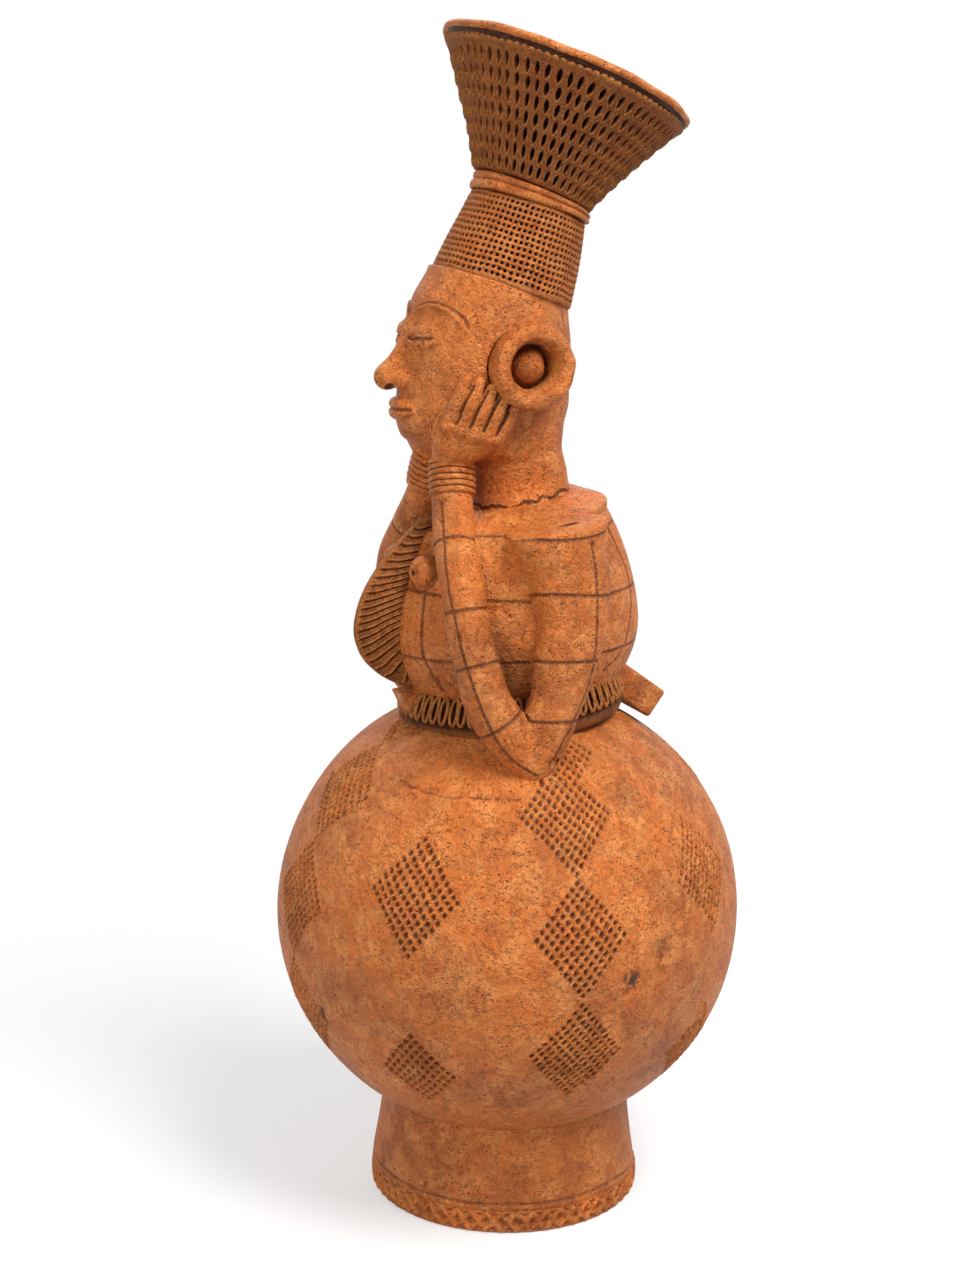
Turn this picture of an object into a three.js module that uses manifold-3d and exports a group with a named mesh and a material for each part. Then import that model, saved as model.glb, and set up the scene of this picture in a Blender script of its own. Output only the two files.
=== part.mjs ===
// Figural pottery vessel: a hand-built terracotta figure on a round hollow body.
// Millimetres, +Z up, origin at the centre of the foot's base. The figure faces -Y, its left is +X.
import * as THREE from 'three';
import { mergeVertices } from 'three/addons/utils/BufferGeometryUtils.js';
import Module from 'manifold-3d';

const wasm = await Module();
wasm.setup();

// Seam between two pieces of clay that are luted together
const seam = 0.3;

// Foot
const footHeight = 40.3;
const footTopRadius = 48;
const footBaseRadius = 50.5;
const footWall = 5.5;
const borderHeight = 8.7;
const borderThickness = 2.7;
const borderCutDepth = 1.3;
const borderLozenges = 38;

// Globe
const globeRadius = 90;
const globeRise = 88.5;
const globeDrop = 86.5;
const globeWall = 6;
const globeMouthRadius = 26;
const diamondHalfWidth = 18.5;
const diamondHalfHeight = 23;
const diamondRows = 3;
const diamondRowWidth = 3.4;
const diamondRowDepth = 0.9;
const stackedTurns = [-84.6, -4, 85, 180];
const stackedHeights = [-18.5, 10.5, 39, 60];
const singleTurns = [-45, 37.5, 132.7, 228];
const singleHeights = [-26, 19];

// Torso
const waistRadius = 36;
const torsoWidth = 86;
const torsoDepth = 99;
const torsoHeight = 76;
const torsoSetBack = 0.3;
const torsoWall = 6;
const bellyShare = 0.45;
const yokeWidth = 76;
const yokeDepth = 70;
const yokeRise = 4.5;
const yokeSlope = 0.06;

// Belt, aprons and chest panel
const beltOuterRadius = 42.2;
const beltHeight = 10.5;
const beltFootInset = 2.6;
const beltTopInset = 2.2;
const beltLoops = 42;
const beltLoopDepth = 1.2;
const rearApronWidth = 28;
const rearApronReach = 60;
const rearApronPitch = 0.72;
const rearApronRise = 9;
const panelHalfWidth = 9.5;
const panelRibs = 20;
const panelRibDepth = 1.1;
const panelHeight = 66;
const panelBulge = 12.8;
const panelFoot = 9.5;
const tabHalfWidth = 5;
const tabThickness = 6;
const tabHeight = 9.5;

// Arms
const armSetBack = -1.3;
const elbowSpread = 51;
const forearmReach = 32;
const upperArmRadius = 10;
const forearmRadius = 8;
const wristRadius = 7.4;
const wristSpread = 8.5;
const stumpLength = 41;
const stumpWidth = 24;
const stumpDroop = 0.38;
const ventLength = 4.5;
const ventWidth = 1.8;
const ventDepth = 7;
const ventSetBack = 5.5;
const bandCount = 6;
const bandPitch = 2.35;
const bandThickness = 1.5;

// Hands
const fingerRadius = 2.5;
const fingerPitch = 4.4;
const handLength = 30.2;

// Neck and head
const neckRadius = 17.5;
const neckLength = 26;
const neckSetBack = 4.4;
const headWidth = 55;
const headDepth = 65;
const headHeight = 57.6;
const headForward = 15.2;
const headWall = 7;
const neckBore = 10;

// Face
const noseLength = 21;
const noseWidth = 14;
const noseDepth = 10;
const mouthWidth = 19;
const lipHeight = 4.4;
const lipDepth = 3.4;
const eyeWidth = 12.5;
const eyeHeight = 7.4;
const eyeDepth = 2.6;
const eyeSlit = 0.7;

// Ears and chest bosses
const earRingRadius = 15.5;
const earRecessRadius = 8;
const earRingThickness = 8;
const earPlugRise = 6;
const nippleRadius = 6;
const nippleRise = 4.8;
const nippleHoleRadius = 0.9;

// Headdress
const crownTilt = 17.8;
const mouthTilt = 22;
const crownSetBack = -5.6;
const flareLean = 4;
const basketHeight = 31.4;
const basketBaseRadius = 26.2;
const basketTopRadius = 22.2;
const basketRings = 10;
const basketRingDepth = 0.8;
const collarHeight = 5.2;
const collarRadius = 23.4;
const collarCoils = 2;
const flareHeight = 40.5;
const flareBaseRadius = 22.4;
const flareTopRadius = 46.8;
const flareColumns = 46;
const flareRows = 7;
const flareCutDepth = 2;
const rimHeight = 4.6;
const rimRadius = 48.4;
const headdressWall = 6;

// Faces round the parts
const globeSides = 36;
const bodySides = 24;
const limbSides = 10;
const headdressSides = 24;
const chamberSides = 18;

// Heights that follow from the sizes
const globeCentreZ = footHeight + globeDrop * Math.sqrt(1 - (footTopRadius / globeRadius) ** 2);
const waistZ = globeSurface(waistRadius);
const yokeZ = waistZ + torsoHeight;
const jawZ = yokeZ + neckLength;
const crownZ = jawZ + headHeight;
const beltTopZ = globeSurface(beltOuterRadius) + beltHeight;
const rearApronTop = beltTopZ + rearApronRise;
const headSetBack = neckSetBack - headForward;
const mouthLean = degrees(mouthTilt - crownTilt);
const palmHalfWidth = 2 * fingerPitch + 1.28 * fingerRadius;
const elbowZ = globeSurface(elbowSpread);
const wristZ = jawZ - 0.15 * neckLength;
const mouthZ = jawZ + 0.24 * headHeight;
const noseZ = jawZ + 0.4 * headHeight;
const eyeZ = jawZ + 0.7 * headHeight;

const clayColour = '#c2743f';
const carvedColour = '#7d4c2e';

// Shared geometry

function globeSurface(radius, side = 1) {
  const tall = side > 0 ? globeRise : globeDrop;
  return globeCentreZ + side * tall * Math.sqrt(1 - (radius / globeRadius) ** 2);
}

function degrees(value) {
  return THREE.MathUtils.degToRad(value);
}

function vector(x, y, z) {
  return new THREE.Vector3(x, y, z);
}

function mix(a, b, share) {
  return a + (b - a) * share;
}

function smooth(share) {
  const s = Math.min(Math.max(share, 0), 1);
  return s * s * (3 - 2 * s);
}

function facesOut(positions, faces) {
  const [a, b, c] = [vector(), vector(), vector()];
  let volume = 0;
  for (let i = 0; i < faces.length; i += 3) {
    a.fromArray(positions, 3 * faces[i]);
    b.fromArray(positions, 3 * faces[i + 1]);
    c.fromArray(positions, 3 * faces[i + 2]);
    volume += a.dot(b.cross(c));
  }
  return volume > 0 ? faces : faces.reverse();
}

function solid(geometry) {
  const bare = geometry.clone();
  bare.deleteAttribute('normal');
  bare.deleteAttribute('uv');
  const welded = mergeVertices(bare, 1e-4);
  const positions = new Float32Array(welded.attributes.position.array);
  const faces = [];
  for (let i = 0; i < welded.index.count; i += 3) {
    const [a, b, c] = [0, 1, 2].map((k) => welded.index.getX(i + k));
    if (a !== b && b !== c && c !== a) faces.push(a, b, c);
  }
  const triVerts = new Uint32Array(facesOut(positions, faces));
  return new wasm.Manifold(new wasm.Mesh({ numProp: 3, vertProperties: positions, triVerts }));
}

function geometryOf(body) {
  const mesh = body.getMesh();
  const geometry = new THREE.BufferGeometry();
  geometry.setAttribute('position', new THREE.BufferAttribute(new Float32Array(mesh.vertProperties), 3));
  geometry.setIndex(new THREE.BufferAttribute(new Uint32Array(mesh.triVerts), 1));
  geometry.computeVertexNormals();
  return geometry;
}

function mirrored(geometry) {
  const copy = geometry.clone().scale(-1, 1, 1);
  copy.setIndex(Array.from(copy.index.array).reverse());
  copy.computeVertexNormals();
  return copy;
}

function cut(body, ...tools) {
  return tools.reduce((rest, tool) => rest.subtract(tool), body);
}

function lathe(profile, sides) {
  const points = profile.map(([radius, height]) => new THREE.Vector2(radius, height));
  return new THREE.LatheGeometry(points, sides).rotateX(Math.PI / 2);
}

function skin(rings, closed) {
  const count = rings[0].length;
  const points = rings.flat();
  const faces = [];
  const bands = closed ? rings.length : rings.length - 1;
  for (let i = 0; i < bands; i += 1) {
    const next = ((i + 1) % rings.length) * count;
    for (let j = 0; j < count; j += 1) {
      const k = (j + 1) % count;
      faces.push(i * count + j, i * count + k, next + k);
      faces.push(i * count + j, next + k, next + j);
    }
  }
  return { points, faces, count };
}

function bodyFrom(points, faces) {
  const geometry = new THREE.BufferGeometry().setFromPoints(points);
  geometry.setIndex(faces);
  return geometry;
}

function loft(rings) {
  const { points, faces, count } = skin(rings, false);
  const last = (rings.length - 1) * count;
  const ends = [[0, rings[0]], [last, rings[rings.length - 1]]];
  ends.forEach(([first, ring], end) => {
    const centre = ring.reduce((sum, point) => sum.add(point), vector(0, 0, 0)).divideScalar(count);
    points.push(centre);
    for (let j = 0; j < count; j += 1) {
      const edge = [first + j, first + ((j + 1) % count)];
      faces.push(points.length - 1, edge[end === 0 ? 1 : 0], edge[end === 0 ? 0 : 1]);
    }
  });
  return bodyFrom(points, faces);
}

function closedLoft(rings) {
  const { points, faces } = skin(rings, true);
  return bodyFrom(points, faces);
}

function ellipse(centre, halfWidth, halfDepth, sides, slopeY = 0, slopeX = 0) {
  return Array.from({ length: sides }, (_, i) => {
    const angle = (2 * Math.PI * i) / sides;
    const x = halfWidth * Math.cos(angle);
    const y = halfDepth * Math.sin(angle);
    return vector(centre.x + x, centre.y + y, centre.z + slopeY * y + slopeX * x);
  });
}

function tube(stations, sides) {
  const centres = stations.map((station) => station.at);
  return loft(stations.map(({ at, wide, thin, across }, i) => {
    const before = centres[Math.max(i - 1, 0)];
    const after = centres[Math.min(i + 1, centres.length - 1)];
    const along = after.clone().sub(before).normalize();
    const side = (across ?? vector(0, 1, 0)).clone();
    side.addScaledVector(along, -side.dot(along)).normalize();
    const other = along.clone().cross(side);
    return Array.from({ length: sides }, (_, j) => {
      const angle = (2 * Math.PI * j) / sides;
      const point = at.clone().addScaledVector(side, wide * Math.cos(angle));
      return point.addScaledVector(other, (thin ?? wide) * Math.sin(angle));
    });
  }));
}

// A round body whose side is a staggered lattice of lozenges with pressed-in centres
function lattice(radii, height, columns, depth) {
  const around = 2 * columns;
  const last = radii.length - 1;
  const points = [];
  for (let row = 0; row <= last; row += 1) {
    for (let i = 0; i < around; i += 1) {
      const pressed = (row + i) % 2 === 1 && row > 0 && row < last;
      const radius = radii[row] - (pressed ? depth : 0);
      const angle = (2 * Math.PI * i) / around;
      points.push(vector(radius * Math.cos(angle), radius * Math.sin(angle), (height * row) / last));
    }
  }
  const at = (row, i) => row * around + ((i + around) % around);
  const faces = [];
  for (let row = 0; row <= last; row += 1) {
    for (let i = (row + 1) % 2; i < around; i += 2) {
      const [centre, before, after] = [at(row, i), at(row, i - 1), at(row, i + 1)];
      if (row < last) faces.push(centre, after, at(row + 1, i), centre, at(row + 1, i), before);
      if (row > 0) faces.push(centre, before, at(row - 1, i), centre, at(row - 1, i), after);
    }
  }
  points.push(vector(0, 0, 0), vector(0, 0, height));
  for (let i = 0; i < around; i += 1) {
    faces.push(points.length - 2, at(0, i + 1), at(0, i));
    faces.push(points.length - 1, at(last, i), at(last, i + 1));
  }
  return solid(bodyFrom(points, faces));
}

// Foot and globe

function globeProfile(grow, steps, topAngle) {
  return Array.from({ length: steps + 1 }, (_, i) => {
    const angle = mix(-Math.PI / 2, topAngle, i / steps);
    const tall = angle > 0 ? globeRise : globeDrop;
    const radius = i === 0 ? 0 : (globeRadius + grow) * Math.cos(angle);
    return [radius, (tall + grow) * Math.sin(angle)];
  });
}

function globeBall(grow) {
  const profile = globeProfile(grow, 16, Math.PI / 2);
  profile[profile.length - 1][0] = 0;
  return solid(lathe(profile, globeSides).translate(0, 0, globeCentreZ));
}

function onGlobe(latitude, angle) {
  const tall = latitude > 0 ? globeRise : globeDrop;
  const flat = globeRadius * Math.cos(latitude);
  return vector(flat * Math.cos(angle), flat * Math.sin(angle), globeCentreZ + tall * Math.sin(latitude));
}

// A row of pressed dots, drawn as one straight groove along the slanting side of a diamond
function dotRow(turn, height, row) {
  const slant = (2 * row + 1) / diamondRows - 1;
  const [start, end] = [-0.9, 0.9].map((share) => {
    const latitude = degrees(height) + (0.5 * (slant - share) * diamondHalfHeight) / globeRadius;
    const side = (0.5 * (slant + share) * diamondHalfWidth) / (globeRadius * Math.cos(latitude));
    return onGlobe(latitude, degrees(turn) + side);
  });
  const out = start.clone().add(end).setZ(start.z + end.z - 2 * globeCentreZ).normalize();
  const across = end.clone().sub(start).cross(out).normalize();
  const lift = diamondRowWidth;
  const sections = [start, end].map((at) => [
    at.clone().addScaledVector(out, -diamondRowDepth),
    at.clone().addScaledVector(out, lift).addScaledVector(across, lift),
    at.clone().addScaledVector(out, lift).addScaledVector(across, -lift),
  ]);
  return solid(loft(sections));
}

function dotDiamond(turn, height) {
  return Array.from({ length: diamondRows }, (_, row) => dotRow(turn, height, row));
}

function dotDiamonds() {
  const stacked = stackedTurns.flatMap((turn) => stackedHeights.flatMap((height) => dotDiamond(turn, height)));
  const single = singleTurns.flatMap((turn) => singleHeights.flatMap((height) => dotDiamond(turn, height)));
  return [...stacked, ...single];
}

function globeBody() {
  const mouthAngle = Math.acos(globeMouthRadius / (globeRadius - globeWall));
  const profile = globeProfile(-globeWall, 8, mouthAngle);
  profile.push([globeMouthRadius, globeRise + globeWall], [0, globeRise + globeWall]);
  const chamber = solid(lathe(profile, chamberSides).translate(0, 0, globeCentreZ));
  return cut(globeBall(0), chamber, ...dotDiamonds());
}

function footRing() {
  const waist = footTopRadius + 0.6;
  const rim = footTopRadius - footWall;
  const profile = [
    [footBaseRadius - footWall, 0],
    [footBaseRadius, 0],
    [footBaseRadius, borderHeight + seam],
    [footBaseRadius + 0.7 * borderThickness, borderHeight + 2 * seam],
    [mix(footBaseRadius, waist, 0.6), mix(borderHeight, footHeight, 0.45)],
    [waist, mix(borderHeight, footHeight, 0.8)],
    [footTopRadius, globeSurface(footTopRadius, -1) - seam],
    [rim, globeSurface(rim, -1) - seam],
    [footBaseRadius - footWall, 0],
  ];
  return solid(lathe(profile, globeSides));
}

function footBorder() {
  const outer = footBaseRadius + borderThickness;
  const radii = [outer - 0.5 * borderCutDepth, outer, outer - 0.5 * borderCutDepth];
  const bore = new THREE.CylinderGeometry(1, 1, 3 * borderHeight, globeSides).rotateX(Math.PI / 2);
  bore.scale(footBaseRadius + seam, footBaseRadius + seam, 1);
  return cut(lattice(radii, borderHeight, borderLozenges, borderCutDepth), solid(bore));
}

// Torso and belt

function torsoSize(share) {
  if (share < bellyShare) {
    const swell = share <= 0 ? 0 : Math.sin(0.5 * Math.PI * (share / bellyShare) ** 0.7);
    return [mix(waistRadius, torsoWidth / 2, swell), mix(waistRadius, torsoDepth / 2, swell)];
  }
  const fall = ((share - bellyShare) / (1 - bellyShare)) ** 1.7;
  return [mix(torsoWidth / 2, yokeWidth / 2, fall), mix(torsoDepth / 2, yokeDepth / 2, fall)];
}

function torsoShape(grow) {
  const shares = [-0.2, 0, 0.06, 0.13, 0.24, 0.4, 0.58, 0.74, 0.88, 1];
  const rings = shares.map((share) => {
    const [halfWidth, halfDepth] = torsoSize(share);
    const centre = vector(0, torsoSetBack, waistZ + share * torsoHeight + (share === 1 ? grow : 0));
    const slope = yokeSlope * smooth((share - bellyShare) / (1 - bellyShare));
    return ellipse(centre, halfWidth + grow, halfDepth + grow, bodySides, slope);
  });
  const domeRings = [[0.86, 0.62], [0.6, 1]];
  for (const [size, rise] of domeRings) {
    const centre = vector(0, torsoSetBack, yokeZ + rise * yokeRise + grow);
    rings.push(ellipse(centre, 0.5 * size * yokeWidth, 0.5 * size * yokeDepth, bodySides, yokeSlope));
  }
  return solid(loft(rings));
}

function torsoBody() {
  const shares = [-0.2, 0, 0.12, 0.45, 0.7, 0.9];
  const rings = shares.map((share) => {
    const [halfWidth, halfDepth] = torsoSize(share);
    const centre = vector(0, torsoSetBack, waistZ + share * torsoHeight);
    return ellipse(centre, halfWidth - torsoWall, halfDepth - torsoWall, chamberSides);
  });
  const chamber = solid(loft(rings));
  const neckHole = solid(tube([
    { at: vector(0, neckSetBack, mix(waistZ, yokeZ, 0.8)), wide: neckBore },
    { at: vector(0, neckSetBack, yokeZ + neckLength), wide: neckBore },
  ], chamberSides));
  return cut(torsoShape(0), chamber, neckHole, globeBall(seam));
}

function torsoReach(share, angle) {
  const [halfWidth, halfDepth] = torsoSize(share);
  return 1 / Math.hypot(Math.cos(angle) / halfWidth, Math.sin(angle) / halfDepth);
}

function beltShape() {
  const outer = beltOuterRadius;
  const foot = outer - beltFootInset;
  const rings = [];
  for (let i = 0; i < 2 * beltLoops; i += 1) {
    const angle = (Math.PI * i) / beltLoops;
    const gouge = i % 2 === 1 ? beltLoopDepth : 0;
    const inner = torsoReach(0, angle) + 2 * seam;
    const upper = torsoReach((beltTopZ - waistZ) / torsoHeight, angle) + 2 * seam;
    const low = globeSurface(foot) + seam;
    const section = [
      [inner, globeSurface(inner) + seam],
      [foot, low],
      [outer - gouge, mix(low, beltTopZ, 0.3)],
      [outer - gouge, mix(low, beltTopZ, 0.7)],
      [Math.max(outer - beltTopInset, upper + seam), beltTopZ],
      [upper, beltTopZ - 2 * seam],
    ];
    rings.push(section.map(([radius, z]) => {
      return vector(radius * Math.cos(angle), radius * Math.sin(angle) + torsoSetBack, z);
    }));
  }
  return solid(closedLoft(rings));
}

// The room that the belt and the waist take from what is laid against them
function beltSpace() {
  const sides = 2 * bodySides;
  const round = 1 / Math.cos(Math.PI / sides);
  const foot = beltOuterRadius - beltFootInset;
  const low = globeSurface(foot);
  const profile = [
    [0, low - beltHeight], [foot * round, low - beltHeight], [(foot + seam) * round, low],
    [(beltOuterRadius + seam) * round, mix(low, beltTopZ, 0.3)],
    [(beltOuterRadius + seam) * round, mix(low, beltTopZ, 0.7)],
    [(beltOuterRadius - beltTopInset + 2 * seam) * round, beltTopZ + seam], [0, beltTopZ + seam],
  ];
  return solid(lathe(profile, sides).translate(0, torsoSetBack, 0));
}

function rearApron() {
  const inset = beltOuterRadius - beltFootInset - 0.8 * waistRadius;
  const length = (rearApronReach - beltOuterRadius + inset) * Math.hypot(1, rearApronPitch);
  const depth = length + beltHeight;
  const slab = new THREE.BoxGeometry(rearApronWidth, length, depth).translate(0, length / 2, -depth / 2);
  slab.rotateX(-Math.atan(rearApronPitch));
  slab.translate(0, beltOuterRadius - inset, rearApronTop + inset * rearApronPitch);
  return cut(solid(slab), torsoShape(seam), beltSpace(), globeBall(seam));
}

function chestPanel() {
  const base = waistZ + panelFoot;
  const rings = [];
  for (let i = 0; i <= 2 * panelRibs; i += 1) {
    const share = i / (2 * panelRibs);
    const torsoShare = (panelFoot + share * panelHeight) / torsoHeight;
    const swell = Math.sin(Math.PI * Math.sqrt(0.015 + 0.97 * share));
    const back = torsoSetBack - torsoSize(torsoShare)[1];
    const front = back - panelBulge * swell;
    const groove = i % 2 === 1 ? panelRibDepth : 0;
    const z = base + share * panelHeight;
    const width = panelHalfWidth * (0.35 + 0.65 * swell);
    const rise = 5 * swell;
    const half = [
      [1.6, front, z],
      [0.6 * width + 1 - groove, mix(front, back, 0.45), z + 0.5 * rise],
      [width - groove, back + 2, z + rise],
    ];
    const right = half.map(([x, y, height]) => vector(x, y, height));
    const left = half.map(([x, y, height]) => vector(-x, y, height)).reverse();
    rings.push([...right, vector(0, back + 12, z + rise), ...left]);
  }
  return cut(solid(loft(rings)), torsoShape(seam), beltSpace());
}

function frontTab() {
  const top = waistZ + panelFoot - seam;
  const face = torsoSetBack - beltOuterRadius;
  const rings = [[0, 1, 1], [0.5, 0.8, 0.75], [1, 0.4, 0.35]].map(([drop, wide, thick]) => {
    const centre = vector(0, face - 0.5 * tabThickness * thick, top - drop * tabHeight);
    return ellipse(centre, tabHalfWidth * wide, 0.7 * tabThickness * thick, 8);
  });
  return cut(solid(loft(rings)), torsoShape(seam), beltSpace());
}

// Arms

function upperArm() {
  const top = yokeZ + 0.5;
  const height = top - elbowZ;
  const lean = [
    [-0.04, -0.8, 0.55, 0.6], [0.04, -0.76, 0.95, 1], [0.14, -0.5, 1, 1.08], [0.25, -0.14, 1, 1.08],
    [0.38, 0.22, 1, 1.04], [0.52, 0.4, 1, 1.05], [0.68, 0.5, 1, 1.18], [0.82, 0.44, 1.02, 1.4],
  ];
  const stumpX = yokeWidth / 2 + 0.3 * upperArmRadius;
  const sides = limbSides + 2;
  const ring = (share, y, halfWidth, halfDepth, slope) => {
    const back = y * upperArmRadius + armSetBack;
    const centre = vector(mix(elbowSpread, stumpX, share), back, elbowZ + share * height);
    return ellipse(centre, halfWidth, halfDepth, sides, 0, -stumpDroop * slope);
  };
  const rings = lean.map(([share, y, wide, deep]) => {
    return ring(share, y, upperArmRadius * wide, upperArmRadius * deep, smooth(share));
  });
  rings.push(ring(0.93, 0.26, 0.47 * stumpWidth, 0.43 * stumpLength, 1));
  rings.push(ring(1, 0.12, stumpWidth / 2, stumpLength / 2, 1));
  return solid(loft(rings));
}

function forearmPath() {
  const bend = [
    [0, 1, 0.31], [0.1, 0.97, 0.55], [0.2, 0.92, 0.77], [0.32, 0.85, 0.91], [0.44, 0.765, 0.98],
    [0.58, 0.65, 1], [0.715, 0.37, 0.956], [0.855, 0.13, 0.88], [1, 0, 0.83],
  ];
  return bend.map(([share, spread, reach]) => {
    const x = mix(wristSpread, elbowSpread + seam, spread);
    return vector(x, armSetBack - reach * forearmReach, mix(elbowZ, wristZ, share));
  });
}

function forearm() {
  const swell = [1.05, 1.14, 1.08, 1, 1, 1, 0.98, 0.943, wristRadius / forearmRadius];
  const path = forearmPath();
  return solid(tube(path.map((at, i) => ({ at, wide: forearmRadius * swell[i] })), limbSides));
}

function ventSlot() {
  const slot = new THREE.CapsuleGeometry(ventWidth / 2, ventLength - ventWidth, 2, 8);
  slot.scale(1, 1, (2 * ventDepth) / ventWidth);
  return solid(slot.translate(yokeWidth / 2 + 0.4 * upperArmRadius, ventSetBack, yokeZ));
}

function armBody() {
  const whole = upperArm().add(forearm());
  return cut(whole, torsoShape(seam), beltSpace(), globeBall(seam), ventSlot());
}

function wristSpace(radius) {
  const path = forearmPath();
  const wrist = path[path.length - 1];
  const along = wrist.clone().sub(path[path.length - 2]).normalize();
  return solid(tube([-3 * bandCount * bandPitch, seam].map((reach) => ({
    at: wrist.clone().addScaledVector(along, reach),
    wide: radius,
  })), limbSides));
}

function bracelet() {
  const path = forearmPath();
  const end = path[path.length - 1];
  const along = end.clone().sub(path[path.length - 2]).normalize();
  const stations = [];
  for (let i = 0; i <= 2 * bandCount; i += 1) {
    const at = end.clone().addScaledVector(along, -0.5 - (0.5 * i * bandPitch));
    stations.unshift({ at, wide: wristRadius + seam + (i % 2 === 1 ? bandThickness : 0.5 * bandThickness) });
  }
  return cut(solid(tube(stations, limbSides)), wristSpace(wristRadius + seam));
}

// Neck and head

function headSection(z) {
  const stations = [
    [yokeZ - 0.31 * neckLength, 1.18 * neckRadius, neckSetBack, 1.19 * neckRadius],
    [yokeZ + 0.08 * neckLength, 1.11 * neckRadius, neckSetBack, 1.12 * neckRadius],
    [yokeZ + 0.38 * neckLength, neckRadius, neckSetBack, neckRadius],
    [jawZ - 0.35 * neckLength, 0.99 * neckRadius, neckSetBack, 0.99 * neckRadius],
    [jawZ - 0.19 * neckLength, neckRadius, neckSetBack - 0.055 * headDepth, 1.19 * neckRadius],
    [jawZ - 0.06 * neckLength, 0.335 * headWidth, headSetBack + 0.062 * headDepth, 0.425 * headDepth],
    [jawZ + 0.035 * headHeight, 0.365 * headWidth, headSetBack, 0.483 * headDepth],
    [jawZ + 0.12 * headHeight, 0.4 * headWidth, headSetBack - 0.022 * headDepth, 0.508 * headDepth],
    [jawZ + 0.25 * headHeight, 0.44 * headWidth, headSetBack - 0.025 * headDepth, 0.51 * headDepth],
    [jawZ + 0.4 * headHeight, 0.47 * headWidth, headSetBack - 0.022 * headDepth, 0.505 * headDepth],
    [jawZ + 0.57 * headHeight, 0.497 * headWidth, headSetBack - 0.014 * headDepth, 0.497 * headDepth],
    [jawZ + 0.75 * headHeight, 0.5 * headWidth, headSetBack, 0.486 * headDepth],
    [jawZ + 0.93 * headHeight, 0.497 * headWidth, headSetBack + 0.026 * headDepth, 0.463 * headDepth],
    [jawZ + 1.1 * headHeight, 0.49 * headWidth, headSetBack + 0.065 * headDepth, 0.433 * headDepth],
    [jawZ + 1.45 * headHeight, 0.46 * headWidth, headSetBack + 0.108 * headDepth, 0.39 * headDepth],
  ];
  const upper = Math.max(1, stations.findIndex((station) => station[0] >= z));
  const [low, high] = [stations[upper - 1], stations[upper]];
  const share = (z - low[0]) / (high[0] - low[0]);
  const [, halfWidth, y, halfDepth] = low.map((value, i) => mix(value, high[i], share));
  return { halfWidth, y, halfDepth, levels: stations.map((station) => station[0]) };
}

function headShape(grow) {
  const { levels } = headSection(jawZ);
  return solid(loft(levels.map((z) => {
    const { halfWidth, y, halfDepth } = headSection(z);
    return ellipse(vector(0, y, z), halfWidth + grow, halfDepth + grow, bodySides);
  })));
}

function cheek(y, z, lift) {
  const section = headSection(z);
  const back = (y - section.y) / section.halfDepth;
  const x = section.halfWidth * Math.sqrt(Math.max(1 - back * back, 0.02));
  const normal = vector(x / section.halfWidth ** 2, (y - section.y) / section.halfDepth ** 2, 0).normalize();
  return vector(x, y, z).addScaledVector(normal, lift);
}

function faceFront(x, z) {
  const section = headSection(z);
  return section.y - section.halfDepth * Math.sqrt(1 - (x / section.halfWidth) ** 2);
}

const crown = new THREE.Group();
crown.position.set(0, crownSetBack, crownZ);
crown.rotation.x = -degrees(crownTilt);
crown.updateMatrix();

function headBody() {
  const room = 3 * headWidth;
  const above = new THREE.BoxGeometry(room, room, room).translate(0, 0, room / 2 - seam);
  const neckLevels = [yokeZ - 0.35 * neckLength, yokeZ + 0.38 * neckLength, jawZ - 0.08 * neckLength];
  const headLevels = [0.1, 0.5, 1.39].map((share) => jawZ + share * headHeight);
  const chamber = loft([...neckLevels, ...headLevels].map((z, i) => {
    const { halfWidth, y, halfDepth } = headSection(z);
    const inner = i < 3 ? neckBore : halfWidth - headWall;
    return ellipse(vector(0, i < 3 ? neckSetBack : y, z), inner, i < 3 ? neckBore : halfDepth - headWall, 14);
  }));
  return cut(headShape(0), solid(above.applyMatrix4(crown.matrix)), solid(chamber), torsoShape(seam));
}

// Hands

function handBody() {
  const path = forearmPath();
  const wrist = path[path.length - 1];
  const along = wrist.clone().sub(path[path.length - 2]).normalize();
  const across = vector(0.42, 0.9, 0);
  const palmStations = [
    [0.375, -0.033, 0.25, 0.74, 0.55], [0.75, 0.017, 0.583, 0.96, 0.47],
    [1, 0.117, 1, 1, 0.37], [1.125, 0.217, 1.42, 0.94, 0.25],
  ].map(([x, y, z, wide, thin]) => ({
    at: wrist.clone().add(vector(x, y, z).multiplyScalar(palmHalfWidth)),
    wide: wide * palmHalfWidth,
    thin: thin * palmHalfWidth,
    across,
  }));
  const heel = { at: wrist.clone().addScaledVector(along, seam), wide: wristRadius, across };
  const palm = solid(tube([heel, ...palmStations], limbSides));
  const reach = [1, 0.967, 0.887, 0.801, 0.642];
  const fingers = reach.map((share, i) => {
    const y = wrist.y + fingerPitch * (i - 1);
    const base = cheek(y, wrist.z + (1.367 - 0.117 * i) * palmHalfWidth, fingerRadius);
    const tip = cheek(y + fingerPitch, wrist.z + share * handLength, 0.7 * fingerRadius);
    return solid(tube([
      { at: base.clone().lerp(tip, -0.15), wide: 0.8 * fingerRadius },
      { at: base, wide: fingerRadius },
      { at: base.clone().lerp(tip, 0.8), wide: 0.96 * fingerRadius },
      { at: tip, wide: 0.5 * fingerRadius },
    ], 6));
  });
  const whole = fingers.reduce((hand, finger) => hand.add(finger), palm);
  return cut(whole, headShape(seam), earRingSpace(seam), wristSpace(wristRadius + bandThickness + seam));
}

// Ears and chest bosses

function turnedToSide(geometry, y, z) {
  const { x } = cheek(y, z, 0);
  return geometry.rotateY(Math.PI / 2).translate(x, y, z);
}

const earY = headSetBack + 0.07 * headDepth;
const earZ = jawZ + 0.53 * headHeight;

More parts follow.
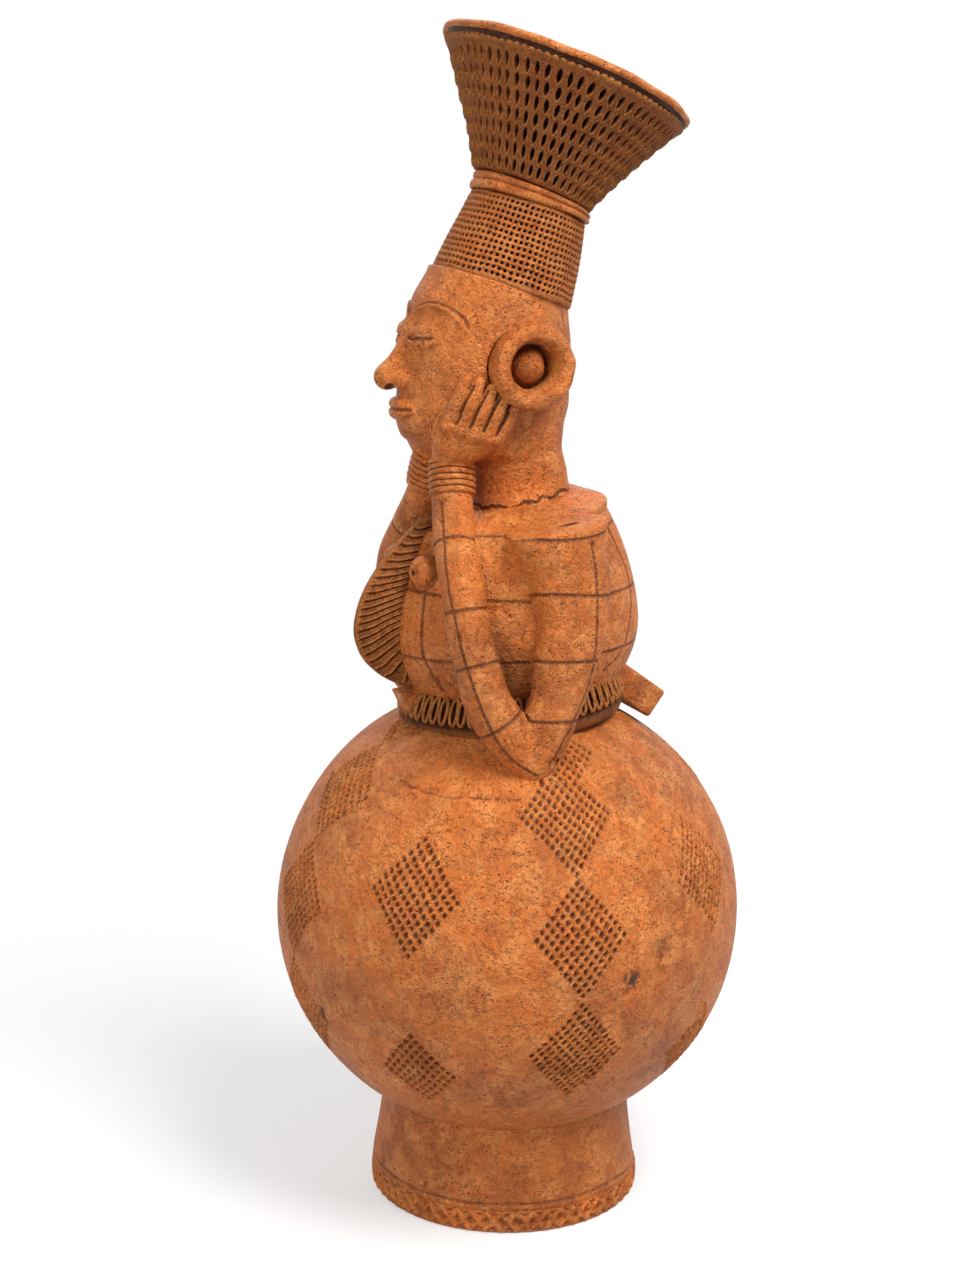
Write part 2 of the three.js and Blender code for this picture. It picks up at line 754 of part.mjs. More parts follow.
function earRingSpace(grow) {
  const radius = earRingRadius + grow;
  const profile = [[0, -headWall], [radius, -headWall], [radius, earRingThickness], [0, earRingThickness]];
  const space = lathe(profile, 20);
  return solid(turnedToSide(space, earY, earZ));
}

function earRing() {
  const deep = -headWall;
  const high = earRingThickness;
  const edge = earRingRadius;
  const profile = [
    [earRecessRadius, deep], [edge - 0.4, deep], [edge, 0.35 * high], [edge - 0.9, 0.78 * high],
    [edge - 3.4, high], [earRecessRadius + 1.6, 0.86 * high], [earRecessRadius, 0.5 * high],
    [earRecessRadius, deep],
  ];
  return cut(solid(turnedToSide(lathe(profile, 20), earY, earZ)), headShape(seam));
}

function earPlug() {
  const edge = earRecessRadius - seam;
  const profile = [
    [0, -headWall], [edge, -headWall], [edge, 0.2 * earPlugRise], [0.72 * edge, 0.28 * earPlugRise],
    [0.62 * edge, 0.66 * earPlugRise], [0.36 * edge, 0.93 * earPlugRise], [0, earPlugRise],
  ];
  return cut(solid(turnedToSide(lathe(profile, 12), earY, earZ)), headShape(seam));
}

function nipple() {
  const hole = nippleHoleRadius;
  const profile = [
    [0, -8], [nippleRadius, -8], [nippleRadius, 0.4], [0.88 * nippleRadius, 0.5 * nippleRise],
    [0.55 * nippleRadius, 0.88 * nippleRise], [hole, nippleRise], [hole, 0.4 * nippleRise],
    [0, 0.35 * nippleRise],
  ];
  const share = 0.75;
  const [halfWidth, halfDepth] = torsoSize(share);
  const x = panelHalfWidth + nippleRadius - 0.5;
  const y = torsoSetBack - halfDepth * Math.sqrt(1 - (x / halfWidth) ** 2);
  const boss = lathe(profile, 10).rotateX(Math.PI / 2).rotateZ(0.18);
  return cut(solid(boss.translate(x, y, waistZ + share * torsoHeight)), torsoShape(seam));
}

// Face

function nose() {
  const rings = [
    [-0.03, 0.5, 0.55], [0.04, 0.92, 0.86], [0.16, 1, 1], [0.34, 0.74, 0.84], [0.56, 0.52, 0.6],
    [0.8, 0.42, 0.38], [1, 0.3, 0.18],
  ].map(([share, wide, deep]) => {
    const z = noseZ + share * noseLength;
    return ellipse(vector(0, faceFront(0, z), z), (wide * noseWidth) / 2, deep * noseDepth, 12);
  });
  return cut(solid(loft(rings)), headShape(seam));
}

function ribbonOnFace(width, centreX, section) {
  const steps = 6;
  return cut(solid(loft(Array.from({ length: steps + 1 }, (_, i) => {
    const share = (2 * i) / steps - 1;
    const x = centreX + 0.5 * width * share;
    const full = Math.sqrt(Math.max(1 - share * share, 0.03));
    return section(full).map(([out, z]) => vector(x, faceFront(x, z) - out, z));
  }))), headShape(seam));
}

function lip(side) {
  return ribbonOnFace(mouthWidth, 0, (full) => {
    const edge = mouthZ + side * 0.5 * seam;
    const tall = side * lipHeight * full;
    return [
      [-4, edge], [0.75 * lipDepth * full, edge], [lipDepth * full, edge + 0.3 * tall],
      [0.7 * lipDepth * full, edge + 0.75 * tall], [0, edge + tall], [-4, edge + tall],
    ];
  });
}

function eyelid(side) {
  return ribbonOnFace(eyeWidth, 0.2 * headWidth, (full) => {
    const edge = eyeZ + 0.5 * side * eyeSlit;
    const tall = 0.5 * side * eyeHeight * full;
    return [
      [-4, edge], [eyeDepth * full, edge], [0.8 * eyeDepth * full, edge + 0.5 * tall],
      [0.1, edge + tall], [-4, edge + tall],
    ];
  });
}

// Headdress, drawn upright and tilted back with the crown

function basketBody() {
  const profile = [[basketBaseRadius - headdressWall, 0]];
  for (let i = 0; i <= 2 * basketRings; i += 1) {
    const share = i / (2 * basketRings);
    const groove = i % 2 === 0 ? basketRingDepth : 0;
    profile.push([mix(basketBaseRadius, basketTopRadius, share) - groove, share * (basketHeight - seam)]);
  }
  profile.push([basketTopRadius - headdressWall, basketHeight - seam], profile[0]);
  return solid(lathe(profile, headdressSides));
}

// The collar is a wedge: its top follows the lean of the mouth, its foot follows the basket
function collarBody() {
  const inner = basketTopRadius - headdressWall;
  const foot = -collarHeight - collarRadius * Math.sin(mouthLean) - 2 * seam;
  const steps = 3 * collarCoils;
  const profile = [[inner, -seam], [inner, foot]];
  for (let i = 0; i <= steps; i += 1) {
    const radius = i % 3 === 0 ? collarRadius - 1.3 : collarRadius;
    profile.push([radius, mix(foot, -seam, i / steps)]);
  }
  profile.push(profile[0]);
  const coils = lathe(profile, headdressSides).rotateX(-mouthLean);
  coils.translate(0, 0, basketHeight + collarHeight);
  const block = new THREE.BoxGeometry(4 * collarRadius, 4 * collarRadius, 2 * collarHeight);
  return cut(solid(coils), solid(block.translate(0, 0, basketHeight - collarHeight)));
}

function flareLattice() {
  const last = flareRows + 1;
  const radii = Array.from({ length: last + 1 }, (_, row) => {
    const share = row / last;
    return mix(flareBaseRadius, flareTopRadius, 0.82 * share + 0.18 * share * share);
  });
  return lattice(radii, flareHeight - seam, flareColumns, flareCutDepth);
}

// The flare is oblique: its axis leans back less than its mouth does
function leaned(body) {
  const slant = Math.tan(degrees(flareLean));
  return geometryOf(body).applyMatrix4(new THREE.Matrix4().makeShear(0, 0, 0, 0, 0, -slant));
}

function flareBody() {
  const height = flareHeight;
  const bore = basketTopRadius - headdressWall;
  const mouth = flareTopRadius - headdressWall;
  const funnel = lathe([
    [0, -1], [bore, -1], [bore, 0.1 * height], [mix(bore, mouth, 0.5), 0.58 * height],
    [mouth, height], [0, height],
  ], headdressSides);
  return cut(flareLattice(), solid(funnel));
}

function rimBody() {
  const inner = flareTopRadius - headdressWall;
  const profile = [
    [inner, 0], [flareTopRadius + 0.4, 0], [flareTopRadius + 0.4, 0.22 * rimHeight],
    [rimRadius, 0.4 * rimHeight], [rimRadius - 0.4, 0.85 * rimHeight], [rimRadius - 2, rimHeight],
    [inner + 1, rimHeight], [inner, 0.8 * rimHeight], [inner, 0],
  ];
  return solid(lathe(profile, headdressSides).translate(0, 0, flareHeight));
}

// Assembly

const vessel = new THREE.Group();
vessel.name = 'figural_vessel';
vessel.add(crown);

// The mouth of the headdress leans a little more than its basket
const mouth = new THREE.Group();
mouth.rotation.x = -mouthLean;
mouth.position.set(0, 0, basketHeight + collarHeight);
crown.add(mouth);

function place(name, geometry, colour, parent = vessel) {
  const clay = new THREE.MeshStandardMaterial({ color: colour, roughness: 0.85, metalness: 0 });
  const mesh = new THREE.Mesh(geometry, clay);
  mesh.name = name;
  parent.add(mesh);
  return mesh;
}

function placePair(name, body, colour) {
  const geometry = geometryOf(body);
  place(`left_${name}`, geometry, colour);
  place(`right_${name}`, mirrored(geometry), colour);
}

place('foot_ring', geometryOf(footRing()), clayColour);
place('foot_border', geometryOf(footBorder()), carvedColour);
place('globe', geometryOf(globeBody()), clayColour);
place('torso', geometryOf(torsoBody()), clayColour);
place('waist_belt', geometryOf(beltShape()), carvedColour);
place('rear_apron', geometryOf(rearApron()), clayColour);
place('front_tab', geometryOf(frontTab()), clayColour);
place('chest_panel', geometryOf(chestPanel()), carvedColour);
place('head', geometryOf(headBody()), clayColour);
place('nose', geometryOf(nose()), clayColour);
place('upper_lip', geometryOf(lip(1)), clayColour);
place('lower_lip', geometryOf(lip(-1)), clayColour);
placePair('arm', armBody(), clayColour);
placePair('bracelet', bracelet(), clayColour);
placePair('hand', handBody(), clayColour);
placePair('nipple', nipple(), clayColour);
placePair('upper_eyelid', eyelid(1), clayColour);
placePair('lower_eyelid', eyelid(-1), clayColour);
placePair('ear_ring', earRing(), clayColour);
placePair('ear_plug', earPlug(), clayColour);
place('headdress_basket', geometryOf(basketBody()), carvedColour, crown);
place('headdress_collar', geometryOf(collarBody()), clayColour, crown);
place('headdress_flare', leaned(flareBody()), carvedColour, mouth);
place('headdress_rim', leaned(rimBody()), clayColour, mouth);

export default vessel;
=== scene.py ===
"""A figural pottery vessel of burnished terracotta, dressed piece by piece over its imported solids."""

import bpy
import numpy as np
import openvdb
from mathutils import Matrix, Vector


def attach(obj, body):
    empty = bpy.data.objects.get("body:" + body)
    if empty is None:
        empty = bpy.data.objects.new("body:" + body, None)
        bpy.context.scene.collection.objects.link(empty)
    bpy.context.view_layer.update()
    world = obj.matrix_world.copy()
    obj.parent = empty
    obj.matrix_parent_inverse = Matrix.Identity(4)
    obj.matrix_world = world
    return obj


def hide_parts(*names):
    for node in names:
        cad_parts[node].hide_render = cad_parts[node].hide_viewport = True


bl_info = {
    "name": "Figural Pottery Vessel",
    "version": (1, 0, 0),
    "blender": (4, 5, 0),
    "location": "3D View > Sidebar > Vessel",
    "description": "Builds a figural terracotta vessel piece by piece, and the stage it stands on",
    "category": "Add Mesh",
}

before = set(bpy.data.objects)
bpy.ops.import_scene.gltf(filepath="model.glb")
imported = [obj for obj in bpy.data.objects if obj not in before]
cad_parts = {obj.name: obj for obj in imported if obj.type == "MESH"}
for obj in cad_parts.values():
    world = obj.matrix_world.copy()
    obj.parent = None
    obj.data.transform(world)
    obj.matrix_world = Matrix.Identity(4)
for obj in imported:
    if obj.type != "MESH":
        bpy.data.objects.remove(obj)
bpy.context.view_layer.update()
MM = 0.001

# Forms of the vessel in millimetres, as its solids have them
FOOT_TOP_RADIUS, FOOT_BASE_RADIUS, FOOT_WALL = 48.0, 50.5, 5.5
BORDER_HEIGHT, BORDER_THICKNESS = 8.7, 2.7
GLOBE_RADIUS, GLOBE_RISE, GLOBE_DROP = 90.0, 88.5, 86.5
GLOBE_WALL, GLOBE_MOUTH, FOOT_TOP_Z = 6.0, 26.0, 40.3
GLOBE_Z = FOOT_TOP_Z + GLOBE_DROP * (1 - (FOOT_TOP_RADIUS / GLOBE_RADIUS) ** 2) ** 0.5
TORSO_SET_BACK, WAIST_RADIUS, TORSO_HEIGHT, BELLY = 0.3, 36.0, 76.0, 0.45
TORSO_HALF, YOKE_HALF, YOKE_SLOPE = (43.0, 49.5), (38.0, 35.0), 0.06
BELT_RADIUS, BELT_HEIGHT = 42.2, 10.5
NECK_RADIUS, NECK_LENGTH, NECK_SET_BACK = 17.5, 26.0, 4.4
HEAD_WIDTH, HEAD_DEPTH, HEAD_HEIGHT, HEAD_SET_BACK = 55.0, 65.0, 57.6, -10.8
CROWN_SET_BACK, CROWN_TILT, MOUTH_TILT, FLARE_LEAN = -5.6, 17.8, 22.0, 4.0
BASKET_HEIGHT, BASKET_BASE, BASKET_TOP, BASKET_WALL = 31.4, 26.2, 22.2, 6.0
COLLAR_HEIGHT, COLLAR_RADIUS = 5.2, 23.4
FLARE_HEIGHT, FLARE_BASE, FLARE_TOP = 40.5, 22.4, 46.8
RIM_RADIUS, BELT_TUCK, HEAD_WALL = 48.4, 2.6, 7.5
ELBOW_OUT, SHOULDER_OUT, ARM_FRONT = 51.0, 41.0, 1.3
PANEL_FOOT, PANEL_HEIGHT, PANEL_HALF = 9.5, 66.0, 9.5
NIPPLE_OUT, NIPPLE_SHARE, NIPPLE_TURN = 15.0, 0.75, 0.3


def globe_surface(radius, side=1):
    tall = GLOBE_RISE if side > 0 else GLOBE_DROP
    return GLOBE_Z + side * tall * (1 - (radius / GLOBE_RADIUS) ** 2) ** 0.5


WAIST_Z = globe_surface(WAIST_RADIUS)
YOKE_Z = WAIST_Z + TORSO_HEIGHT
JAW_Z = YOKE_Z + NECK_LENGTH
CROWN_Z = JAW_Z + HEAD_HEIGHT
BELT_TOP_Z = globe_surface(BELT_RADIUS) + BELT_HEIGHT
ELBOW_Z = globe_surface(ELBOW_OUT)
WRIST_Z = JAW_Z - 0.15 * NECK_LENGTH


# Curves and places

def mix(a, b, share):
    return a + (b - a) * share


def smooth(value, low=0.0, high=1.0):
    share = np.clip((value - low) / (high - low), 0, 1)
    return share * share * (3 - 2 * share)


def flow(keys, values, at):
    """A smooth curve through stations, level beyond its ends"""
    keys, values = np.asarray(keys, float), np.asarray(values, float)
    slopes = np.gradient(values, keys, axis=0)
    at = np.clip(np.asarray(at, float), keys[0], keys[-1])
    low = np.clip(np.searchsorted(keys, at, "right") - 1, 0, len(keys) - 2)
    gap = keys[low + 1] - keys[low]
    t = (at - keys[low]) / gap
    if values.ndim > 1:
        gap, t = gap[..., None], t[..., None]
    start, end = values[low], values[low + 1]
    bend = slopes[low] * gap * (t - 2 * t**2 + t**3) + slopes[low + 1] * gap * (t**3 - t**2)
    return start + (end - start) * (3 * t**2 - 2 * t**3) + bend


def along_path(points, spacing):
    """Points at an even spacing on the smooth curve through a few points"""
    points = np.asarray(points, float)
    steps = np.linalg.norm(np.diff(points, axis=0), axis=1)
    keys = np.concatenate([[0], np.cumsum(steps)])
    count = max(2, int(keys[-1] / spacing) + 1)
    return flow(keys, points, np.linspace(0, keys[-1], count))


def rounded(profile, passes=2, closed=False):
    """A profile with its corners cut back to soft ones"""
    points = np.asarray(profile, float)
    for _ in range(passes):
        ahead = np.roll(points, -1, axis=0)
        near, far = mix(points, ahead, 0.25), mix(points, ahead, 0.75)
        cut = np.stack([near, far], axis=1).reshape(-1, 2)
        points = cut if closed else np.concatenate([points[:1], cut[:-2], points[-1:]])
    return points


def by_length(points, at, closed=False):
    """The point of a polyline at each share of its length"""
    if closed:
        points = np.concatenate([points, points[:1]])
    steps = np.linalg.norm(np.diff(points, axis=0), axis=1)
    keys = np.concatenate([[0], np.cumsum(steps)])
    return np.stack([np.interp(at * keys[-1], keys, points[:, i]) for i in range(2)], axis=-1)


def lumps(points, size, seed=0):
    """Soft handmade unevenness between -1 and 1, about size mm across"""
    ways = np.random.default_rng(seed).normal(size=(5, 3))
    ways *= 2 * np.pi / size / np.linalg.norm(ways, axis=1)[:, None]
    waves = [np.sin(points @ way + 1.7 * i) for i, way in enumerate(ways)]
    return sum(waves) / 3.2


def tilt(degrees):
    return np.array(Matrix.Rotation(np.radians(-degrees), 4, "X"))


def shift(x, y, z):
    return np.array(Matrix.Translation((x, y, z)))


CROWN = shift(0, CROWN_SET_BACK, CROWN_Z) @ tilt(CROWN_TILT)
MOUTH = CROWN @ shift(0, 0, BASKET_HEIGHT + COLLAR_HEIGHT) @ tilt(MOUTH_TILT - CROWN_TILT)
FLARE = MOUTH.copy()
FLARE[:, 2] -= MOUTH[:, 1] * np.tan(np.radians(FLARE_LEAN))


def carried(points, place):
    return points @ place[:3, :3].T + place[:3, 3]


def facing(origin, direction):
    """The place whose +Z points along a direction"""
    axis = np.asarray(direction, float) / np.linalg.norm(direction)
    side = np.cross([0.0, 0.0, 1.0] if abs(axis[2]) < 0.8 else [0.0, 1.0, 0.0], axis)
    side /= np.linalg.norm(side)
    place = np.eye(4)
    place[:3, 0], place[:3, 1], place[:3, 2], place[:3, 3] = side, np.cross(axis, side), axis, origin
    return place


# Meshes

def outward(points, faces):
    """The same triangles, turned so that they face out"""
    a, b, c = (points[faces[:, i]] for i in range(3))
    return faces if np.einsum("ij,ij->i", a, np.cross(b, c)).sum() > 0 else faces[:, ::-1]


def new_mesh(name, points, faces, marks, material):
    """A smooth triangle mesh, from points in mm, with its marks as attributes"""
    faces = outward(points, faces)
    mesh = bpy.data.meshes.new(name)
    mesh.vertices.add(len(points))
    mesh.vertices.foreach_set("co", (points * MM).astype(np.float32).ravel())
    mesh.loops.add(3 * len(faces))
    mesh.loops.foreach_set("vertex_index", faces.astype(np.int32).ravel())
    mesh.polygons.add(len(faces))
    mesh.polygons.foreach_set("loop_start", np.arange(0, 3 * len(faces), 3, dtype=np.int32))
    mesh.polygons.foreach_set("use_smooth", np.ones(len(faces), bool))
    mesh.update(calc_edges=True)
    for key, values in marks.items():
        layer = mesh.attributes.new(key, "FLOAT", "POINT")
        layer.data.foreach_set("value", np.asarray(values, np.float32))
    mesh.materials.append(material)
    piece = bpy.data.objects.new(name, mesh)
    bpy.context.scene.collection.objects.link(piece)
    return piece


def finish_piece(piece, slot, *nodes):
    """Puts a piece on the one body, in the place of nodes of the solids; its slot is not used"""
    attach(piece, "root")
    if nodes:
        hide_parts(*nodes)


def new_piece(name, form, slot, *nodes, finish="Rubbed terracotta", press=None):
    """A finished piece, from its points, triangles and marks, with rows of marks pressed in where given"""
    material = bpy.data.materials[finish]
    piece = new_mesh(name, *form, material)
    if press:
        through_tree(piece, bpy.data.node_groups["Pressed marks"], **press, Material=material)
    finish_piece(piece, slot, *nodes)


def new_pair(name, form, node):
    """A piece on the left and its mirror image on the right"""
    points, faces, marks = form
    for side, way in (("left", 1), ("right", -1)):
        new_piece(f"{side}_{name}", (points * [way, 1, 1], faces, marks), "clay", f"{side}_{node}")


# A skin over a square of turns and lengths, dense only where its relief needs it

def sheet(place, relief, cells, levels=0, tolerance=0.05):
    """Points, triangles and marks of a closed skin. A ring, whose ends meet, closes along its length too"""
    ends = place(np.array([0.0, 0.3]), np.array([0.0, 0.0]))
    ring = np.linalg.norm(ends[0] - ends[1]) > 1e-3
    fine = 2**levels
    around, along = cells[0] * fine, cells[1] * fine
    rows = along if ring else along + 1
    turn, length = np.meshgrid(np.arange(around) / around, np.arange(rows) / along, indexing="ij")
    points = place(turn, length)
    small = 1e-4
    across = place(turn + small, length) - place(turn - small, length)
    ahead = place(turn, np.clip(length + small, 0, 1)) - place(turn, np.clip(length - small, 0, 1))
    normals = np.cross(across, ahead)
    size = np.linalg.norm(normals, axis=-1, keepdims=True)
    normals /= np.maximum(size, 1e-12)
    middle = points.reshape(-1, 3).mean(axis=0)
    far = np.argmax(np.linalg.norm(points[..., :2], axis=-1) * (size[..., 0] > 1e-12))
    if normals.reshape(-1, 3)[far] @ (points.reshape(-1, 3)[far] - middle) < 0:
        normals = -normals
    depth, marks, dense = relief(turn, length, points)
    points = points + normals * depth[..., None]
    faces = triangles_of(depth, dense, cells, fine, ring, tolerance)
    if not ring:
        faces = np.where(faces % rows == 0, 0, faces)
        faces = np.where(faces % rows == rows - 1, rows - 1, faces)
    a, b, c = faces.T
    faces = faces[(a != b) & (b != c) & (c != a)]
    used, flat = np.unique(faces, return_inverse=True)
    marks = {key: values.reshape(-1)[used] for key, values in marks.items()}
    return points.reshape(-1, 3)[used], flat.reshape(-1, 3), marks


def halves(a, b, c, d):
    """The two triangles of each four-cornered cell"""
    return np.concatenate([np.stack([a, b, c], 1), np.stack([a, c, d], 1)])


def triangles_of(depth, dense, cells, fine, ring, tolerance):
    """Splits each cell of a grid in four until its relief is even, and joins the cells with no gap"""
    around, rows = depth.shape
    along = cells[1] * fine
    if dense is not None:
        busy = np.add.outer(np.arange(around), np.arange(rows)) % 2
        depth = depth + np.where(dense, 9.0 * busy, 0)
    corner = np.concatenate([depth, depth[:1]])
    if ring:
        corner = np.concatenate([corner, corner[:, :1]], axis=1)
    four = [corner[:-1, :-1], corner[1:, :-1], corner[:-1, 1:], corner[1:, 1:]]
    high, low = np.maximum.reduce(four), np.minimum.reduce(four)
    used = np.zeros((around, rows), bool)
    leaves = []
    parent = np.ones(cells, bool)
    size = fine
    while True:
        shape = (around // size, size, along // size, size)
        uneven = high.reshape(shape).max((1, 3)) - low.reshape(shape).min((1, 3)) > tolerance
        split = parent & uneven if size > 1 else np.zeros_like(parent)
        i, j = np.nonzero(parent & ~split)
        leaves.append((size, i * size, j * size))
        for di, dj in ((0, 0), (size, 0), (size, size), (0, size)):
            used[(i * size + di) % around, (j * size + dj) % rows] = True
        if size == 1:
            break
        parent = split.repeat(2, 0).repeat(2, 1)
        size //= 2
    faces = []
    for size, i, j in leaves:
        edge = [(k, 0) for k in range(size)] + [(size, k) for k in range(size)]
        edge += [(size - k, size) for k in range(size)] + [(0, size - k) for k in range(size)]
        edge = np.array(edge)
        u = (i[:, None] + edge[:, 0]) % around
        v = (j[:, None] + edge[:, 1]) % rows
        flat, present = u * rows + v, used[u, v]
        plain = present.sum(1) == 4
        faces.append(halves(*(flat[plain][:, k * size] for k in range(4))))
        for cell in np.nonzero(~plain)[0]:
            around_cell = flat[cell][present[cell]]
            centre = (i[cell] + size // 2) % around * rows + (j[cell] + size // 2) % rows
            fan = [np.full(len(around_cell), centre), around_cell, np.roll(around_cell, -1)]
            faces.append(np.stack(fan, 1))
    return np.concatenate(faces)


def turned(profile, closed=True, passes=2):
    """The place function of a form turned on a wheel"""
    line = rounded(profile, passes, closed)

    def place(turn, length):
        radius, height = np.moveaxis(by_length(line, np.clip(length, 0, 1), closed), -1, 0)
        angle = 2 * np.pi * turn
        return np.stack([radius * np.cos(angle), radius * np.sin(angle), height], axis=-1)
    return place


# Clay worked in a block of space: each point of the block holds how far it lies from the skin

FAR = 50.0


class Clay:
    def __init__(self, low, high, step):
        self.low, self.step = np.asarray(low, float), step
        axes = [np.arange(a, b, step) for a, b in zip(low, high)]
        self.x, self.y, self.z = np.meshgrid(*axes, indexing="ij", sparse=True)
        self.shape = tuple(len(axis) for axis in axes)
        self.skin = np.full(self.shape, FAR, np.float32)
        # Values above zero stand for dirt and painted shade in cuts, values below zero for wear and painted
        # highlight on edges
        self.dirt = np.zeros(self.shape, np.float32)

    def near(self, centre, reach):
        """The part of the block round a point, and how far its points are from it"""
        low = np.maximum(np.floor((centre - reach - self.low) / self.step).astype(int), 0)
        high = np.minimum(np.ceil((centre + reach - self.low) / self.step).astype(int) + 1, self.shape)
        if (high <= low).any():
            return None, None
        part = tuple(slice(a, b) for a, b in zip(low, high))
        axes = [(np.arange(a, b) * self.step + o - c) ** 2 for a, b, o, c in zip(low, high, self.low, centre)]
        gap = np.sqrt(axes[0][:, None, None] + axes[1][None, :, None] + axes[2][None, None, :])
        return part, gap

    def balls(self, centres, radii, reach=5.0):
        """The field of a row of balls, such as a rolled coil"""
        form = np.full(self.shape, FAR, np.float32)
        for centre, radius in zip(centres, np.broadcast_to(radii, len(centres))):
            part, gap = self.near(centre, radius + reach)
            if part:
                form[part] = np.minimum(form[part], gap - radius)
        return form

    def coil(self, stations, radii, spacing=0.6, reach=5.0):
        points = along_path(stations, spacing)
        keys = np.linspace(0, 1, len(stations))
        return self.balls(points, flow(keys, radii, np.linspace(0, 1, len(points))), reach)

    def join(self, form, blend):
        """Adds a form with a fillet, whose size may differ from place to place"""
        blend = np.maximum(blend, 1e-6)
        gap = np.maximum(blend - np.abs(self.skin - form), 0) / blend
        self.skin = (np.minimum(self.skin, form) - gap * gap * blend / 4).astype(np.float32)

    def keep(self, form, blend):
        """Keeps only what lies inside a form"""
        gap = np.maximum(blend - np.abs(self.skin - form), 0) / max(blend, 1e-6)
        self.skin = (np.maximum(self.skin, form) + gap * gap * blend / 4).astype(np.float32)

    def sample(self, grid, points):
        """The value of a grid between its points"""
        spot = (points - self.low) / self.step
        spot = np.clip(spot, 0, np.array(self.shape) - 1.001)
        base = spot.astype(int)
        rest = spot - base
        total = 0
        for corner in np.ndindex(2, 2, 2):
            weight = np.prod(np.where(corner, rest, 1 - rest), axis=1)
            total = total + weight * grid[tuple((base + corner).T)]
        return total

    def settle(self, points, rounds=3):
        """Points moved straight onto the skin"""
        step = self.step
        for _ in range(rounds):
            slope = np.stack([
                self.sample(self.skin, points + way) - self.sample(self.skin, points - way)
                for way in np.eye(3) * step
            ], axis=1) / (2 * step)
            slope /= np.maximum(np.linalg.norm(slope, axis=1, keepdims=True), 0.3)
            points = points - slope * self.sample(self.skin, points)[:, None]
        return points

    def engrave(self, path, radius, dirt=1.0, clear_of=None, spacing=0.35, settle=True):
        """Draws a round tool along a path on the skin"""
        points = along_path(path, spacing)
        if clear_of is not None:
            points = points[self.sample(clear_of, points) > 1.0]
        if settle and len(points):
            points = self.settle(points)
        for point in points:
            part, gap = self.near(point, 2.5 * radius + self.step)
            if part:
                self.skin[part] = np.maximum(self.skin[part], radius - gap)
                # The cut itself is darkened with dirt and painted shade
                mark, old = dirt * smooth(gap, 1.5 * radius, 0.9 * radius), self.dirt[part]
                # The clay pushed up beside the tool is painted pale, a painted highlight on the edges of the cut
                # with some wear
                highlight_and_wear = -0.45 * smooth(gap, 2.4 * radius, 1.8 * radius)
                paled_sides = np.where(old > 0, old, np.minimum(old, highlight_and_wear))
                self.dirt[part] = np.where(mark > 0, np.maximum(old, mark), paled_sides)

    def surface(self, both_sides=False, adaptivity=0.003):
        """The skin as points, triangles and marks, with fewer triangles where it is even"""
        skin, low = self.skin, self.low.copy()
        if both_sides:
            skin = np.concatenate([skin[:0:-1], skin])
            low[0] = -(self.skin.shape[0] - 1) * self.step
        grid = openvdb.FloatGrid(FAR)
        grid.copyFromArray(np.ascontiguousarray(skin))
        points, triangles, quads = grid.convertToPolygons(0.0, adaptivity)
        points = points.astype(float) * self.step + low
        faces = np.concatenate([triangles, quads[:, [0, 1, 2]], quads[:, [0, 2, 3]]]).astype(int)
        half = np.abs(points[:, :1]) if both_sides else points[:, :1]
        side = np.where(points[:, :1] < 0, -1, 1) if both_sides else 1
        spots = self.settle(np.concatenate([half, points[:, 1:]], axis=1), 1)
        points = np.concatenate([side * spots[:, :1], spots[:, 1:]], axis=1)
        return points, faces, {"dirt": self.sample(self.dirt, spots)}


# Nodes: the kinds and settings that are used often

MATH, VECTOR, RANGE, MIX = "ShaderNodeMath", "ShaderNodeVectorMath", "ShaderNodeMapRange", "ShaderNodeMix"
ADDED, MINUS, TIMES, OVER, TIMES_PLUS, LARGER = (
    {"operation": kind} for kind in ("ADD", "SUBTRACT", "MULTIPLY", "DIVIDE", "MULTIPLY_ADD", "MAXIMUM"))
SOFT = {"interpolation_type": "SMOOTHSTEP"}


def linear(colour):
    """The linear values of an sRGB hex colour"""
    parts = [int(colour[i:i + 2], 16) / 255 for i in (1, 3, 5)]
    return [part / 12.92 if part <= 0.04045 else ((part + 0.055) / 1.055) ** 2.4 for part in parts] + [1.0]


def node(tree, kind, settings=None, inputs=None, output=0):
    """Adds a node with its settings, sets or links its inputs, and gives one of its outputs"""
    new = tree.nodes.new(kind)
    for key, value in (settings or {}).items():
        setattr(new, key, value)
    for key, value in (inputs or {}).items():
        if isinstance(value, bpy.types.NodeSocket):
            tree.links.new(value, new.inputs[key])
        else:
            new.inputs[key].default_value = value
    return new.outputs[output] if len(new.outputs) else new


def through_tree(piece, tree, **sizes):
    """The plain mesh that a tree makes of a piece, with the tree's inputs set by name"""
    modifier = piece.modifiers.new("marks", "NODES")
    modifier.node_group = tree
    for item in tree.interface.items_tree:
        if item.in_out == "INPUT" and item.name in sizes:
            modifier[item.identifier] = sizes[item.name]
    graph = bpy.context.evaluated_depsgraph_get()
    mesh = bpy.data.meshes.new_from_object(piece.evaluated_get(graph), depsgraph=graph)
    piece.modifiers.remove(modifier)
    old = piece.data
    mesh.name = piece.name
    piece.data = mesh
    bpy.data.meshes.remove(old)


def new_tree(name, sizes):
    """An empty tree of geometry nodes with a named input for each size"""
    tree = bpy.data.node_groups.new(name, "GeometryNodeTree")
    tree.interface.new_socket("Geometry", in_out="INPUT", socket_type="NodeSocketGeometry")
    for label, kind, value in sizes:
        socket = tree.interface.new_socket(label, in_out="INPUT", socket_type=kind)
        if value is not None:
            socket.default_value = value
    tree.interface.new_socket("Geometry", in_out="OUTPUT", socket_type="NodeSocketGeometry")
    given = tree.nodes.new("NodeGroupInput")
    return tree, {socket.name: socket for socket in given.outputs}


def close_tree(tree, geometry, material):
    real = node(tree, "GeometryNodeRealizeInstances", None, {"Geometry": geometry})
    dressed = node(tree, "GeometryNodeSetMaterial", None, {"Geometry": real, "Material": material})
    node(tree, "NodeGroupOutput", None, {"Geometry": dressed})


